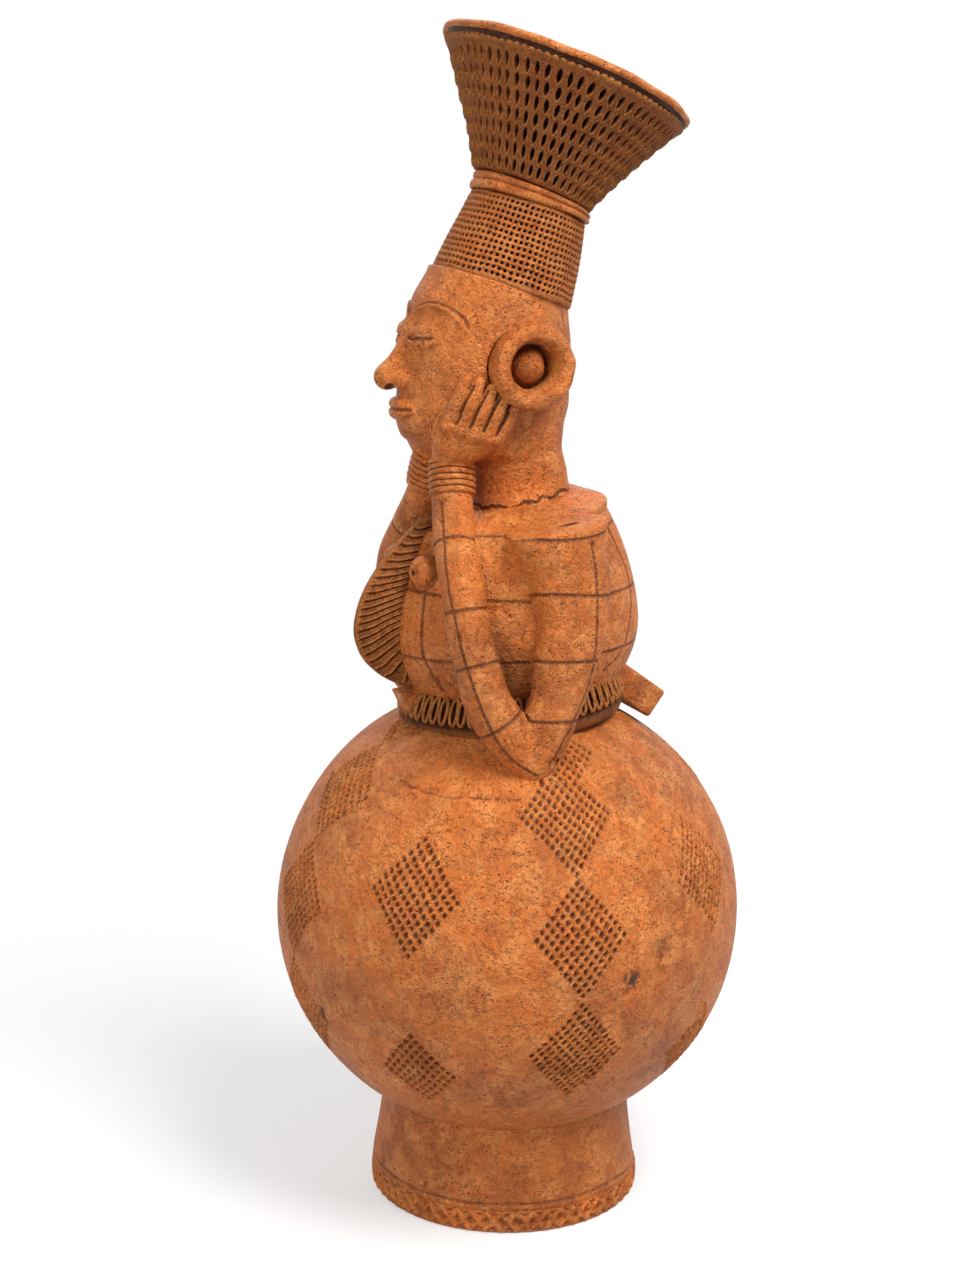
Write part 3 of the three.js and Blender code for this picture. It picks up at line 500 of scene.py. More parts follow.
def pressed_marks_tree():
    """Marks pressed into a face in rows, each a dot, an almond or a lozenge, with a lip of pushed-up clay; each
    mark is darkened with dirt and painted shade and its lip paled with wear and painted highlight
    """
    sizes = [(label, "NodeSocketFloat", value) for label, value in (
        ("Half Width", 0.3), ("Half Height", 0.3), ("Side Power", 2.0), ("End Power", 2.0), ("Edge", 0.5),
        ("Depth", 0.001), ("Lip", 0.0002), ("Lip Width", 0.8), ("Lip Below", 0.0), ("Stagger", 0.0),
        ("Row Period", 1.0), ("Dirt", 1.0), ("Wear", 0.4),
    )]
    tree, given = new_tree("Pressed marks", sizes + [("Material", "NodeSocketMaterial", None)])
    column, row, face = (
        node(tree, "GeometryNodeInputNamedAttribute", {"data_type": "FLOAT"}, {"Name": key})
        for key in ("column", "row", "face")
    )
    presses, lips = [], []
    # An unstaggered face has its marks on the first of the two lattices alone
    single = node(tree, MATH, {"operation": "LESS_THAN"}, {0: given["Stagger"], 1: 0.25})
    for half in (0.0, 0.5):
        period = given["Row Period"]
        lifted = node(tree, MATH, OVER, {0: row, 1: period})
        lifted = node(tree, MATH, ADDED, {0: lifted, 1: half})
        aside = node(tree, MATH, TIMES_PLUS, {0: given["Stagger"], 1: half, 2: column})
        reach = node(tree, MATH, OVER, {0: given["Half Height"], 1: period})
        spots, parts = [], []
        for value, size, power in (
            (aside, given["Half Width"], given["Side Power"]), (lifted, reach, given["End Power"]),
        ):
            spot = node(tree, MATH, {"operation": "FRACT"}, {0: value})
            spot = node(tree, MATH, MINUS, {0: spot, 1: 0.5})
            spots.append(node(tree, MATH, OVER, {0: spot, 1: size}))
            spot = node(tree, MATH, {"operation": "ABSOLUTE"}, {0: spots[-1]})
            parts.append(node(tree, MATH, {"operation": "POWER"}, {0: spot, 1: power}))
        away = node(tree, MATH, ADDED, {0: parts[0], 1: parts[1]})
        if half:
            away = node(tree, MATH, TIMES_PLUS, {0: single, 1: 9.0, 2: away})
        floor = node(tree, MATH, MINUS, {0: 1.0, 1: given["Edge"]})
        presses.append(node(tree, RANGE, SOFT, {"Value": away, "From Min": 1.1, "From Max": floor}))
        end = node(tree, MATH, ADDED, {0: 1.1, 1: given["Lip Width"]})
        rise = node(tree, RANGE, SOFT, {"Value": away, "From Min": 0.95, "From Max": 1.25})
        fall = node(tree, RANGE, SOFT, {"Value": away, "From Min": end, "From Max": 1.25})
        lip = node(tree, MATH, TIMES, {0: rise, 1: fall})
        below = node(tree, RANGE, SOFT, {"Value": spots[1], "From Min": 0.4, "From Max": -0.5})
        below = node(tree, MIX, None, {0: given["Lip Below"], 2: 1.0, 3: below})
        lips.append(node(tree, MATH, TIMES, {0: lip, 1: below}))
    press = node(tree, MATH, LARGER, {0: presses[0], 1: presses[1]})
    lip = node(tree, MATH, LARGER, {0: lips[0], 1: lips[1]})
    clear = node(tree, MATH, MINUS, {0: 1.0, 1: press})
    lip = node(tree, MATH, TIMES, {0: lip, 1: clear})
    low = node(tree, MATH, TIMES, {0: press, 1: given["Depth"]})
    out = node(tree, MATH, TIMES, {0: lip, 1: given["Lip"]})
    out = node(tree, MATH, MINUS, {0: out, 1: low})
    out = node(tree, MATH, TIMES, {0: out, 1: face})
    normal = node(tree, "GeometryNodeInputNormal")
    offset = node(tree, VECTOR, {"operation": "SCALE"}, {0: normal, "Scale": out})
    moved = node(tree, "GeometryNodeSetPosition", None, {"Geometry": given["Geometry"], "Offset": offset})
    mark_shading_and_dirt = node(tree, MATH, TIMES, {0: press, 1: given["Dirt"]})
    lip_highlight_and_wear = node(tree, MATH, TIMES, {0: lip, 1: given["Wear"]})
    mark_shading_and_dirt = node(tree, MATH, MINUS, {0: mark_shading_and_dirt, 1: lip_highlight_and_wear})
    before = node(tree, "GeometryNodeInputNamedAttribute", {"data_type": "FLOAT"}, {"Name": "dirt"})
    mark_shading_and_dirt = node(tree, MATH, TIMES_PLUS, {0: mark_shading_and_dirt, 1: face, 2: before})
    marked = node(tree, "GeometryNodeStoreNamedAttribute", {"data_type": "FLOAT", "domain": "POINT"}, {
        "Geometry": moved, "Name": "dirt", "Value": mark_shading_and_dirt,
    })
    close_tree(tree, marked, given["Material"])


def belt_loops_tree():
    """Loops of thin coil set side by side round the waist"""
    tree, given = new_tree("Belt loops", [
        ("Loops", "NodeSocketInt", 62), ("Reach", "NodeSocketFloat", 0.04), ("Seed", "NodeSocketInt", 4),
        ("Loop", "NodeSocketObject", None), ("Material", "NodeSocketMaterial", None),
    ])
    ring = node(tree, "GeometryNodePoints", None, {"Count": given["Loops"]})
    index = node(tree, "GeometryNodeInputIndex")
    step = node(tree, MATH, OVER, {0: 2 * np.pi, 1: given["Loops"]})
    turn = node(tree, MATH, TIMES, {0: index, 1: step})
    slip = node(tree, "FunctionNodeRandomValue", {"data_type": "FLOAT"}, {
        2: -0.012, 3: 0.012, "ID": index, "Seed": given["Seed"],
    }, 1)
    turn = node(tree, MATH, ADDED, {0: turn, 1: slip})
    around = node(tree, "ShaderNodeCombineXYZ", None, {"Z": turn})
    space = {"transform_space": "ORIGINAL"}
    shape = node(tree, "GeometryNodeObjectInfo", space, {0: given["Loop"]}, "Geometry")
    loops = node(tree, "GeometryNodeInstanceOnPoints", None, {
        "Points": ring, "Instance": shape, "Rotation": around,
    })
    close_tree(tree, loops, given["Material"])


# Materials

def clay_material(name, colours, dark, gloss):
    """Terracotta burnished by hand and fired in the open: mottled by the smoke, streaked by the rubbing tool,
    pitted where grit fell out, with old dirt and painted shade in every cut and wear and painted highlight on
    raised edges, so that it looks handled for ages"""
    material = bpy.data.materials.new(name)
    material.use_nodes = True
    tree = material.node_tree
    tree.nodes.clear()
    rgba = {"data_type": "RGBA"}
    body, pale, deep, carved, grime_and_shade, soot_and_deep_shade = ((*getattr(colours, key), 1) for key in (
        "clay", "pale_clay", "deep_clay", "carved", "grime_and_shade", "soot_and_deep_shade"))
    place = node(tree, "ShaderNodeTexCoord", None, None, "Object")
    place = node(tree, VECTOR, {"operation": "SCALE"}, {0: place, "Scale": 1000.0})
    layers = {}
    # Each layer's size in mm, its detail, roughness and twist, and the values where it starts and is full
    for key, size, detail, rough, twist, low, high in (
        ("cloud", 38.0, 4.0, 0.60, 0.3, 0.42, 0.64), ("patch", 9.0, 4.0, 0.62, 0.4, 0.40, 0.68),
        ("speckle", 2.1, 3.0, 0.70, 0.2, 0.52, 0.70), ("grain", 0.9, 2.0, 0.70, 0.0, 0.35, 0.70),
        ("wave", 5.2, 1.5, 0.50, 1.1, 0.0, 1.0), ("worked", 12.0, 2.0, 0.50, 0.0, 0.40, 0.56),
        ("pitted", 19.0, 2.0, 0.50, 0.0, 0.30, 0.52), ("dents", 3.1, 3.0, 0.60, 0.5, 0.2, 0.8),
        ("dashes", 2.4, 1.0, 0.50, 0.4, 0.46, 0.60),
    ):
        field = node(tree, "ShaderNodeTexNoise", None, {
            "Vector": place, "Scale": 1 / size, "Detail": detail, "Roughness": rough, "Distortion": twist,
        })
        layers[key] = node(tree, RANGE, SOFT, {"Value": field, "From Min": low, "From Max": high})
    # Strokes of the rubbing tool, about 1 mm wide, short and curved
    line = node(tree, MATH, TIMES, {0: layers["wave"], 1: 8.0})
    line = node(tree, MATH, {"operation": "PINGPONG"}, {0: line, 1: 0.5})
    line = node(tree, RANGE, SOFT, {"Value": line, "From Min": 0.2, "From Max": 0.0})
    layers["stroke"] = node(tree, MATH, TIMES, {0: line, 1: layers["worked"]})
    layers["scratch"] = node(tree, MATH, TIMES, {0: line, 1: layers["dashes"]})
    # Pits of fallen grit and pale flecks, wider than tall, up to 1 mm
    flat = node(tree, VECTOR, TIMES, {0: place, 1: (1.0, 1.0, 1.7)})
    for key, size, edge in (("pit", 2.9, 0.19), ("fleck", 2.3, 0.17)):
        cells = node(tree, "ShaderNodeTexVoronoi", None, {
            "Vector": flat, "Scale": 1 / size, "Randomness": 1.0,
        })
        spots = node(tree, RANGE, SOFT, {"Value": cells, "From Min": edge, "From Max": 0.4 * edge})
        layers[key] = node(tree, MATH, TIMES, {0: spots, 1: layers["pitted"]})
    colour = body
    for key, share, tint in (
        ("cloud", 0.65, deep), ("patch", 0.55, pale), ("speckle", 0.5, deep), ("stroke", 0.35, pale),
        ("scratch", 0.6, deep), ("fleck", 0.6, pale), ("pit", 0.9, grime_and_shade),
    ):
        share = node(tree, MATH, TIMES, {0: layers[key], 1: share})
        colour = node(tree, MIX, rgba, {0: share, 6: colour, 7: tint}, 2)
    for x, y, z, reach, share in STAINS:
        away = node(tree, VECTOR, {"operation": "DISTANCE"}, {0: place, 1: (x, y, z)}, "Value")
        away = node(tree, MATH, TIMES_PLUS, {0: layers["dents"], 1: 1.6 * reach, 2: away})
        share = node(tree, RANGE, SOFT, {
            "Value": away, "From Min": 2.2 * reach, "From Max": 1.2 * reach, "To Max": share,
        })
        colour = node(tree, MIX, rgba, {0: share, 6: colour, 7: soot_and_deep_shade}, 2)
    # The punched and carved finishes lean toward the carved colour: partly the darker patina of their carving,
    # partly painted shade
    colour = node(tree, MIX, rgba, {0: dark, 6: colour, 7: carved}, 2)
    # Pale edges, worn and lit as a painted highlight; cuts that hold dirt, darkened further with painted shade;
    # and deep marks painted as dark as soot, which is painted shade
    marks = node(tree, "ShaderNodeAttribute", {"attribute_name": "dirt"}, None, "Fac")
    for low, high, most, tint in ((0.0, -1.0, 0.85, pale), (0.0, 1.0, 0.9, grime_and_shade), (0.7, 1.3, 0.9, soot_and_deep_shade)):
        share = node(tree, RANGE, None, {"Value": marks, "From Min": low, "From Max": high, "To Max": most})
        colour = node(tree, MIX, rgba, {0: share, 6: colour, 7: tint}, 2)
    height = node(tree, MATH, TIMES, {0: layers["dents"], 1: 0.6})
    for key, share in (("stroke", 0.3), ("scratch", -0.75), ("pit", -0.8), ("grain", 0.2)):
        height = node(tree, MATH, TIMES_PLUS, {0: layers[key], 1: share, 2: height})
    relief = node(tree, "ShaderNodeBump", None, {"Height": height, "Strength": 0.9, "Distance": 0.0012})
    uneven = node(tree, MATH, TIMES_PLUS, {0: layers["grain"], 1: 0.2, 2: gloss - 0.1})
    shader = node(tree, "ShaderNodeBsdfPrincipled", None, {
        "Base Color": colour, "Roughness": uneven, "IOR": 1.45,
        "Specular IOR Level": 0.42 - 0.35 * dark, "Normal": relief,
    })
    node(tree, "ShaderNodeOutputMaterial", None, {"Surface": shader})


# Soot and scorch marks on the globe and the torso: place in mm, size and strength. The first four places were
# picked in the photograph and laid on the solids through its camera
STAINS = [
    (62.2, 21.0, 173.5, 8.0, 0.35), (88.7, 13.2, 112.5, 3.0, 0.9), (23.6, -82.1, 88.4, 3.0, 0.9),
    (84.7, 26.7, 122.7, 4.5, 0.4), (38.0, -22.0, 221.0, 15.0, 0.3), (46.0, 33.0, 234.0, 5.0, 0.3),
]


# Foot and globe

def globe_line():
    """The profile of the globe, up its outside to the mouth and down its inside"""
    sides = []
    for depth, count in ((0.0, 70), (GLOBE_WALL, 50)):
        radius = GLOBE_RADIUS - depth
        lat = np.linspace(-np.pi / 2, np.arccos(GLOBE_MOUTH / radius), count)
        tall = np.where(lat > 0, GLOBE_RISE, GLOBE_DROP) - depth
        sides.append(np.stack([radius * np.cos(lat), GLOBE_Z + tall * np.sin(lat)], 1))
    line = np.concatenate([sides[0], sides[1][::-1]])
    line[[0, -1], 0] = 0
    return line


# Diamonds of pressed dots: turn and height round the globe in degrees. The lowest ones are smaller
LOWEST, DIAMOND_WIDE, DIAMOND_TALL = -26, 18.5, 23.0
DIAMONDS = [(turn, lat) for turn in (-84.6, 85.0, 180.0) for lat in (66, 39, 10.5, -18.5)]
DIAMONDS += [(-4.0, 56.0), (-4.0, 39.0), (-4.0, 10.5), (-4.0, -18.5)]
DIAMONDS += [(turn, lat) for turn in (-45.0, 37.5, 132.7, 228.0) for lat in (19, LOWEST)]


def diamond_places(points):
    """Row and column of each point in the diamond that it is nearest to, and 1 inside it"""
    turn = np.arctan2(points[..., 1], points[..., 0])
    rise = points[..., 2] - GLOBE_Z
    flat = np.linalg.norm(points[..., :2], axis=-1)
    lat = np.arctan2(rise, flat)
    outside = np.hypot(flat, rise) > GLOBE_RADIUS - 4.5
    best = np.full(turn.shape, 9.0)
    row, column = np.zeros_like(best), np.zeros_like(best)
    wobble = 0.035 * lumps(points, 14, 3)
    for i, (turn_at, lat_at) in enumerate(DIAMONDS):
        lower = 0.85 if lat_at == LOWEST else 1.0
        away = (turn - np.radians(turn_at) + np.pi) % (2 * np.pi) - np.pi
        side = GLOBE_RADIUS * np.cos(lat) * away / (DIAMOND_WIDE * lower)
        up = GLOBE_RADIUS * (lat - np.radians(lat_at)) / (DIAMOND_TALL * lower)
        a, b = side + up + wobble, side - up - wobble
        size = np.maximum(np.abs(a), np.abs(b))
        nearer = size < best
        best = np.where(nearer, size, best)
        rows, dots = (7, 9) if lat_at == LOWEST else (9, 11 + i % 2)
        row = np.where(nearer, (a + 1) / 2 * rows, row)
        column = np.where(nearer, (b + 1) / 2 * dots, column)
    return row, column, (best < 1) & outside


# A crack below the belt: places in mm, picked in the photograph and laid on the solids in the same way
GLOBE_CRACK = [
    (13.6, -61.1, 176.7), (29.7, -54.8, 177.0), (42.7, -47.8, 175.3), (53.7, -34.5, 175.6), (61.1, -20.0, 175.1),
]


def distance_to(points, path, reach):
    """How far each point lies from a path, at most a given reach"""
    samples = along_path(path, 0.4)
    wander = np.stack([lumps(samples, 5, i) for i in range(3)], 1)
    samples = samples + 0.7 * wander
    flat = points.reshape(-1, 3)
    near = np.all((flat > samples.min(0) - reach) & (flat < samples.max(0) + reach), axis=1)
    away = np.full(len(flat), reach, float)
    spots = np.nonzero(near)[0]
    for part in np.array_split(spots, max(1, len(spots) // 20000)):
        gaps = np.linalg.norm(flat[part, None] - samples, axis=2)
        away[part] = np.minimum(gaps.min(axis=1), reach)
    return away.reshape(points.shape[:-1])


def make_globe(sizes):
    place = turned(globe_line(), closed=False, passes=0)

    def uneven(turn, length):
        points = place(turn, length)
        return points * (1 + 0.0035 * lumps(points, 60, 1))[..., None]

    def relief(turn, length, points):
        row, column, inside = diamond_places(points)
        # The crack is cut in and darkened with dirt and painted shade
        away = distance_to(points, GLOBE_CRACK, 4.0)
        crack = smooth(away, 0.7, 0.2)
        return -0.6 * crack, {"dirt": 0.8 * crack, "row": row, "column": column, "face": inside * 1.0}, inside

    # The pressed dots are darkened with dirt and painted shade, and their lips paled with wear and painted
    # highlight
    new_piece("globe_skin", sheet(uneven, relief, (112, 104), 3), "clay", "globe", press={
        "Half Width": 0.36, "Half Height": 0.33, "Side Power": 3.0, "End Power": 3.0, "Edge": 0.6,
        "Depth": sizes.dot_depth * 1.1, "Lip": 0.0004, "Lip Width": 2.5, "Dirt": 0.85, "Wear": 0.3,
    })


def make_foot(sizes):
    top, rim = FOOT_TOP_RADIUS, FOOT_TOP_RADIUS - FOOT_WALL
    line = [
        (FOOT_BASE_RADIUS - FOOT_WALL, 0.1), (FOOT_BASE_RADIUS, 0.1), (FOOT_BASE_RADIUS + 0.1, 7.0),
        (FOOT_BASE_RADIUS + 2.0, 9.0), (FOOT_BASE_RADIUS + 1.6, 13.0), (50.9, 20), (49.7, 28), (48.9, 35),
        (top + 0.7, globe_surface(top, -1) - 1.2), (top + 2.2, globe_surface(top, -1) + 1.8),
        (top - 2.0, globe_surface(top, -1) + 2.0), (rim, globe_surface(rim, -1) + 1.0), (rim + 1.0, 30),
    ]
    place = turned(line)

    def uneven(turn, length):
        points = place(turn, length)
        return points + 0.3 * lumps(points, 35, 2)[..., None] * [1, 1, 0]

    def relief(turn, length, points):
        flat = np.linalg.norm(points[..., :2], axis=-1)
        outer = flat > FOOT_BASE_RADIUS - 3.5
        height = points[..., 2] - 0.35 * lumps(points, 22, 5)
        # The groove is darkened with dirt and painted shade
        groove = smooth(np.abs(height - 11.6), 0.9, 0.2) * outer
        return -0.6 * groove, {"dirt": 0.55 * groove}, None

    new_piece("foot_ring_skin", sheet(uneven, relief, (96, 44), 2), "clay", "foot_ring")
    outer = FOOT_BASE_RADIUS + BORDER_THICKNESS
    inner = FOOT_BASE_RADIUS - 1.0
    band = turned([
        (inner, 0), (outer - 0.9, 0), (outer, 0.9), (outer, BORDER_HEIGHT - 0.9),
        (outer - 0.9, BORDER_HEIGHT), (inner, BORDER_HEIGHT),
    ], passes=1)

    def lozenges(turn, length, points):
        flat = np.linalg.norm(points[..., :2], axis=-1)
        wobble = 0.12 * lumps(points, 9, 6)
        row = (points[..., 2] - 0.3) / (BORDER_HEIGHT - 0.8)
        face = smooth(flat, outer - 1.2, outer - 0.7)
        marks = {"dirt": 0 * flat, "row": row, "column": turn * sizes.border_lozenges + wobble, "face": face}
        return 0 * flat, marks, face > 0

    # The lozenges are darkened a little with dirt and painted shade, and paled round their edges with wear and
    # painted highlight
    new_piece("foot_border_band", sheet(band, lozenges, (112, 12), 3), "carved_clay", "foot_border", press={
        "Half Width": 0.5, "Half Height": 0.5, "Side Power": 1.0, "End Power": 1.0, "Edge": 1.0,
        "Depth": 0.0019, "Lip": 0.0, "Dirt": 0.3, "Wear": 0.2, "Stagger": 1.0,
    })


# Torso with its arms, worked as one body of clay

def torso_size(share):
    """Half the width and depth of the torso at shares of its height"""
    swell = np.sin(0.5 * np.pi * np.clip(share / BELLY, 0, 1) ** 0.85)
    fall = np.clip((share - BELLY) / (1 - BELLY), 0, 1) ** 1.7
    low = [mix(WAIST_RADIUS - 6, half, swell) for half in TORSO_HALF]
    high = [mix(half, end, fall) for half, end in zip(TORSO_HALF, YOKE_HALF)]
    return [np.where(share < BELLY, a, b) for a, b in zip(low, high)]


def ellipse_field(x, y, wide, deep):
    """About how far a point lies outside an ellipse"""
    size = np.sqrt((x / wide) ** 2 + (y / deep) ** 2)
    slope = np.sqrt((x / wide**2) ** 2 + (y / deep**2) ** 2) / np.maximum(size, 1e-3)
    return np.where(size < 0.3, -0.7 * np.minimum(wide, deep), (size - 1) / np.maximum(slope, 1e-3))


def torso_sides(x, y, z):
    slope = YOKE_SLOPE * smooth(z, WAIST_Z + BELLY * TORSO_HEIGHT, YOKE_Z)
    wide, deep = torso_size((z - slope * y - WAIST_Z) / TORSO_HEIGHT)
    return 0.97 * ellipse_field(x, y - TORSO_SET_BACK, wide, deep)


def yoke_top(x, y):
    """The height of the yoke, which rises a little to the neck"""
    inward = np.sqrt((x / YOKE_HALF[0]) ** 2 + ((y - TORSO_SET_BACK) / YOKE_HALF[1]) ** 2)
    rise = 4 * smooth(y, 0, 30) - 2.5 * smooth(-y, 2, 20)
    return YOKE_Z + 4.5 * smooth(1 - inward, 0.0, 0.42) + YOKE_SLOPE * y + rise


# Upper arm, from the elbow up: share of its height, place to the back in cm, half its width and depth in mm
UPPER_ARM = np.array([
    (-0.04, -0.8, 5.5, 6.0), (0.04, -0.76, 9.5, 10.0), (0.14, -0.4, 10.0, 10.0), (0.25, 0.04, 10.0, 10.2),
    (0.38, 0.36, 10.0, 12.0), (0.52, 0.65, 10.0, 13.0), (0.68, 0.75, 10.0, 14.6), (0.82, 0.6, 10.2, 16.2),
    (0.93, 0.26, 11.28, 17.63), (1.0, 0.12, 12.0, 20.5), (1.1, -0.1, 12.9, 24.0),
])
# Forearm, from the elbow up: shares of its height, of its place to the side and of its reach to the front
FOREARM = np.array([
    (0, 1, 0.31), (0.1, 0.97, 0.6), (0.2, 0.92, 0.81), (0.32, 0.85, 0.91), (0.44, 0.765, 0.98),
    (0.58, 0.65, 1), (0.715, 0.37, 0.956), (0.855, 0.13, 0.88), (1, 0, 0.83),
])
ARM_TOP = YOKE_Z + 0.5


def forearm_path():
    share, spread, reach = FOREARM.T
    return np.stack([mix(8.5, 51.3, spread), -ARM_FRONT - 32 * reach, mix(ELBOW_Z, WRIST_Z, share)], 1)


def arm_sides(x, y, z):
    """How far points lie outside the upper arm, whose sections tilt as they rise to the shoulder"""
    tall = ARM_TOP - ELBOW_Z
    share = (z - ELBOW_Z) / tall
    share = share + 0.38 * smooth(share) * (x - mix(ELBOW_OUT, SHOULDER_OUT, share)) / tall
    spine, wide, deep = np.moveaxis(flow(UPPER_ARM[:, 0], UPPER_ARM[:, 1:], share), -1, 0)
    return ellipse_field(x - mix(ELBOW_OUT, SHOULDER_OUT, share), y - 10 * spine + ARM_FRONT, wide, deep)


# Lines drawn down the left half of the torso and down the arm: places in mm, picked in the photograph
# and laid on the solids through its camera
TORSO_LINES = [
    [(27.5, 26.6, 267.8), (25.9, 32.5, 257.0), (24.5, 37.1, 246.6), (26.3, 37.8, 238.1), (29.3, 35.8, 229.6),
     (31.6, 32.5, 220.6), (36.5, 23.9, 213.8)],
    [(18.0, -40.5, 246.5), (19.7, -42.6, 233.1), (20.2, -42.3, 220.3), (21.8, -39.8, 212.2),
     (22.5, -36.8, 206.4)],
]
ARM_LINES = [
    [(19.1, -35.7, 277.9), (29.7, -38.1, 263.5), (38.4, -39.8, 251.9), (44.6, -39.3, 238.8),
     (48.9, -37.4, 225.3), (51.4, -35.2, 217.3), (54.7, -30.6, 204.1), (55.8, -26.7, 196.3),
     (57.1, -20.9, 188.7), (56.7, -12.1, 183.7)],
    [(51.2, 10.6, 265.6), (50.4, 11.9, 255.5), (50.8, 12.0, 245.3), (51.9, 10.7, 230.0), (53.3, 8.7, 217.8),
     (56.1, 3.4, 205.4), (58.6, -2.6, 196.1), (58.3, -8.1, 186.0)],
]
# Lines round the torso: their heights at its front, side and back
TORSO_RINGS = ((267.0, 267.5, 267.5), (245.0, 243.0, 244.0), (219.0, 221.0, 223.0))


def torso_ring(heights):
    """A line round the torso, from its heights at the front, the side and the back"""
    turn = np.linspace(-np.pi / 2, np.pi / 2, 40)
    z = np.interp(turn, [-np.pi / 2, 0, np.pi / 2], heights)
    wide, deep = torso_size((z - WAIST_Z) / TORSO_HEIGHT)
    return np.stack([wide * np.cos(turn), TORSO_SET_BACK + deep * np.sin(turn), z], 1)


def arm_ring(centre, axis, radius):
    place = facing(centre, axis)
    turn = np.linspace(0, 2 * np.pi, 40)
    circle = np.stack([radius * np.cos(turn), radius * np.sin(turn), 0 * turn], 1)
    return carried(circle, place)


def make_torso(sizes):
    body = Clay((0.0, -54, ELBOW_Z - 12), (66, 54, WRIST_Z + 4), sizes.clay_step / MM)
    x, y, z = body.x, body.y, body.z
    torso = torso_sides(x, y, z).astype(np.float32)
    arm = np.maximum(arm_sides(x, y, z), ELBOW_Z + 2 - z).astype(np.float32)
    body.skin = torso
    # The upper arm grows out of the shoulder and leaves the body at a crisp fold lower down
    body.join(arm, mix(1.5, 9.0, smooth(z, 225, 262)) * mix(1.0, 0.15, smooth(y, -6, 8)))
    # The shoulder ends in a flat stump, which slopes down to its outer edge
    stump = ARM_TOP + 2.5 - 0.25 * (x - SHOULDER_OUT)
    gap = yoke_top(x, y) - stump
    top = np.minimum(yoke_top(x, y), stump) - np.maximum(3 - np.abs(gap), 0) ** 2 / 12
    body.keep(z - top, 1.4)
    height = ARM_TOP - ELBOW_Z
    low = UPPER_ARM[:3]
    elbow = [np.full(3, ELBOW_OUT), 10 * low[:, 1] - ARM_FRONT, ELBOW_Z + low[:, 0] * height + 2]
    joint = body.coil(np.stack(elbow, 1), [5.6, 8.4, 9.6])
    swell = [1.05, 1.14, 1.08, 1, 1, 1, 0.98, 0.943, 0.925]
    fore = body.coil(forearm_path(), [8 * size for size in swell])
    body.join(joint, 1.5)
    body.join(fore, 0.9)
    body.keep(globe_skin_side(body) - 4, 0.4)
    limb = np.minimum(np.minimum(arm, joint), fore)
    # Lines and rings drawn on the torso and arms, darkened with dirt and painted shade and paled at their edges
    # with painted highlight
    line = 500 * sizes.line_width
    for path in TORSO_LINES + [torso_ring(heights) for heights in TORSO_RINGS]:
        body.engrave(path, line, 1.0, clear_of=limb)
    arm_lines = ARM_LINES + [[
        (SHOULDER_OUT + 12.3 * np.cos(turn), -0.1 + 20.6 * np.sin(turn), ARM_TOP - 0.7 - 3.1 * np.cos(turn))
        for turn in np.linspace(-np.pi, np.pi, 60)
    ]]
    for share in (0.70, 0.42, 0.17):
        spine = 10 * np.interp(share, UPPER_ARM[:, 0], UPPER_ARM[:, 1]) - ARM_FRONT
        reach = np.interp(share, UPPER_ARM[:, 0], UPPER_ARM[:, 3])
        centre = (mix(ELBOW_OUT, SHOULDER_OUT, share), spine, ELBOW_Z + share * height)
        arm_lines.append(arm_ring(centre, (-0.12, 0.05, 1), reach))
    spine = forearm_path()
    for i, share in ((6, 0.0), (4, 0.5), (3, 0.1), (1, 0.4)):
        arm_lines.append(arm_ring(mix(spine[i], spine[i + 1], share), spine[i + 1] - spine[i], 8.2))
    for path in arm_lines:
        body.engrave(path, line, 1.0, clear_of=torso)
    seat = nipple_seat()
    body.engrave(arm_ring(seat[:3, 3], seat[:3, 2], 6.9), line, 0.9)
    # The vent is a slot cut down into the stump, pointed at both ends, painted dark inside as painted shade
    vent = np.sqrt(((x - 42) / 1.0) ** 2 + ((y - 5.5) / 3.2) ** 2 + ((z - ARM_TOP - 2.3) / 9) ** 2) - 1
    body.keep(-0.8 * vent, 0.3)
    body.dirt = np.maximum(body.dirt, 1.3 * smooth(vent, 0.5, 0.0)).astype(np.float32)
    new_piece("torso_and_arms", body.surface(both_sides=True), "clay", "torso", "left_arm", "right_arm")


# Head and hands

# Sections of the neck and the head: height, half width, place to the back and half depth, as shares of their
# sizes, but for the neck's place to the back, which is in mm
NECK_SECTIONS = (
    (-0.31, 1.18, NECK_SET_BACK, 1.26), (0.08, 1.11, NECK_SET_BACK, 1.18),
    (0.38, 1.0, NECK_SET_BACK - 1.2, 1.06), (0.65, 0.99, NECK_SET_BACK - 2.6, 1.06),
    (0.81, 1.0, NECK_SET_BACK - 4.8, 1.12),
)
HEAD_SECTIONS = (
    (-0.027, 0.335, 0.045, 0.41), (0.035, 0.365, -0.012, 0.47), (0.12, 0.4, -0.034, 0.496),
    (0.25, 0.44, -0.025, 0.51), (0.4, 0.47, -0.022, 0.505), (0.57, 0.497, -0.014, 0.497),
    (0.75, 0.5, 0.0, 0.486), (0.93, 0.497, 0.026, 0.463), (1.1, 0.49, 0.065, 0.433),
    (1.45, 0.46, 0.108, 0.39),
)
HEAD = np.array(
    [(YOKE_Z + a * NECK_LENGTH, b * NECK_RADIUS, c, d * NECK_RADIUS) for a, b, c, d in NECK_SECTIONS]
    + [(JAW_Z + a * HEAD_HEIGHT, b * HEAD_WIDTH, HEAD_SET_BACK + c * HEAD_DEPTH, d * HEAD_DEPTH)
       for a, b, c, d in HEAD_SECTIONS]
)
MOUTH_Z, NOSE_Z, EYE_Z = (JAW_Z + share * HEAD_HEIGHT for share in (0.24, 0.4, 0.7))
EAR_Y, EAR_Z = HEAD_SET_BACK + 0.07 * HEAD_DEPTH, JAW_Z + 0.53 * HEAD_HEIGHT


def head_section(z):
    return np.moveaxis(flow(HEAD[:, 0], HEAD[:, 1:], z), -1, 0)


def face_front(x, z):
    wide, y, deep = head_section(z)
    return y - deep * np.sqrt(np.clip(1 - (x / wide) ** 2, 0.02, 1))


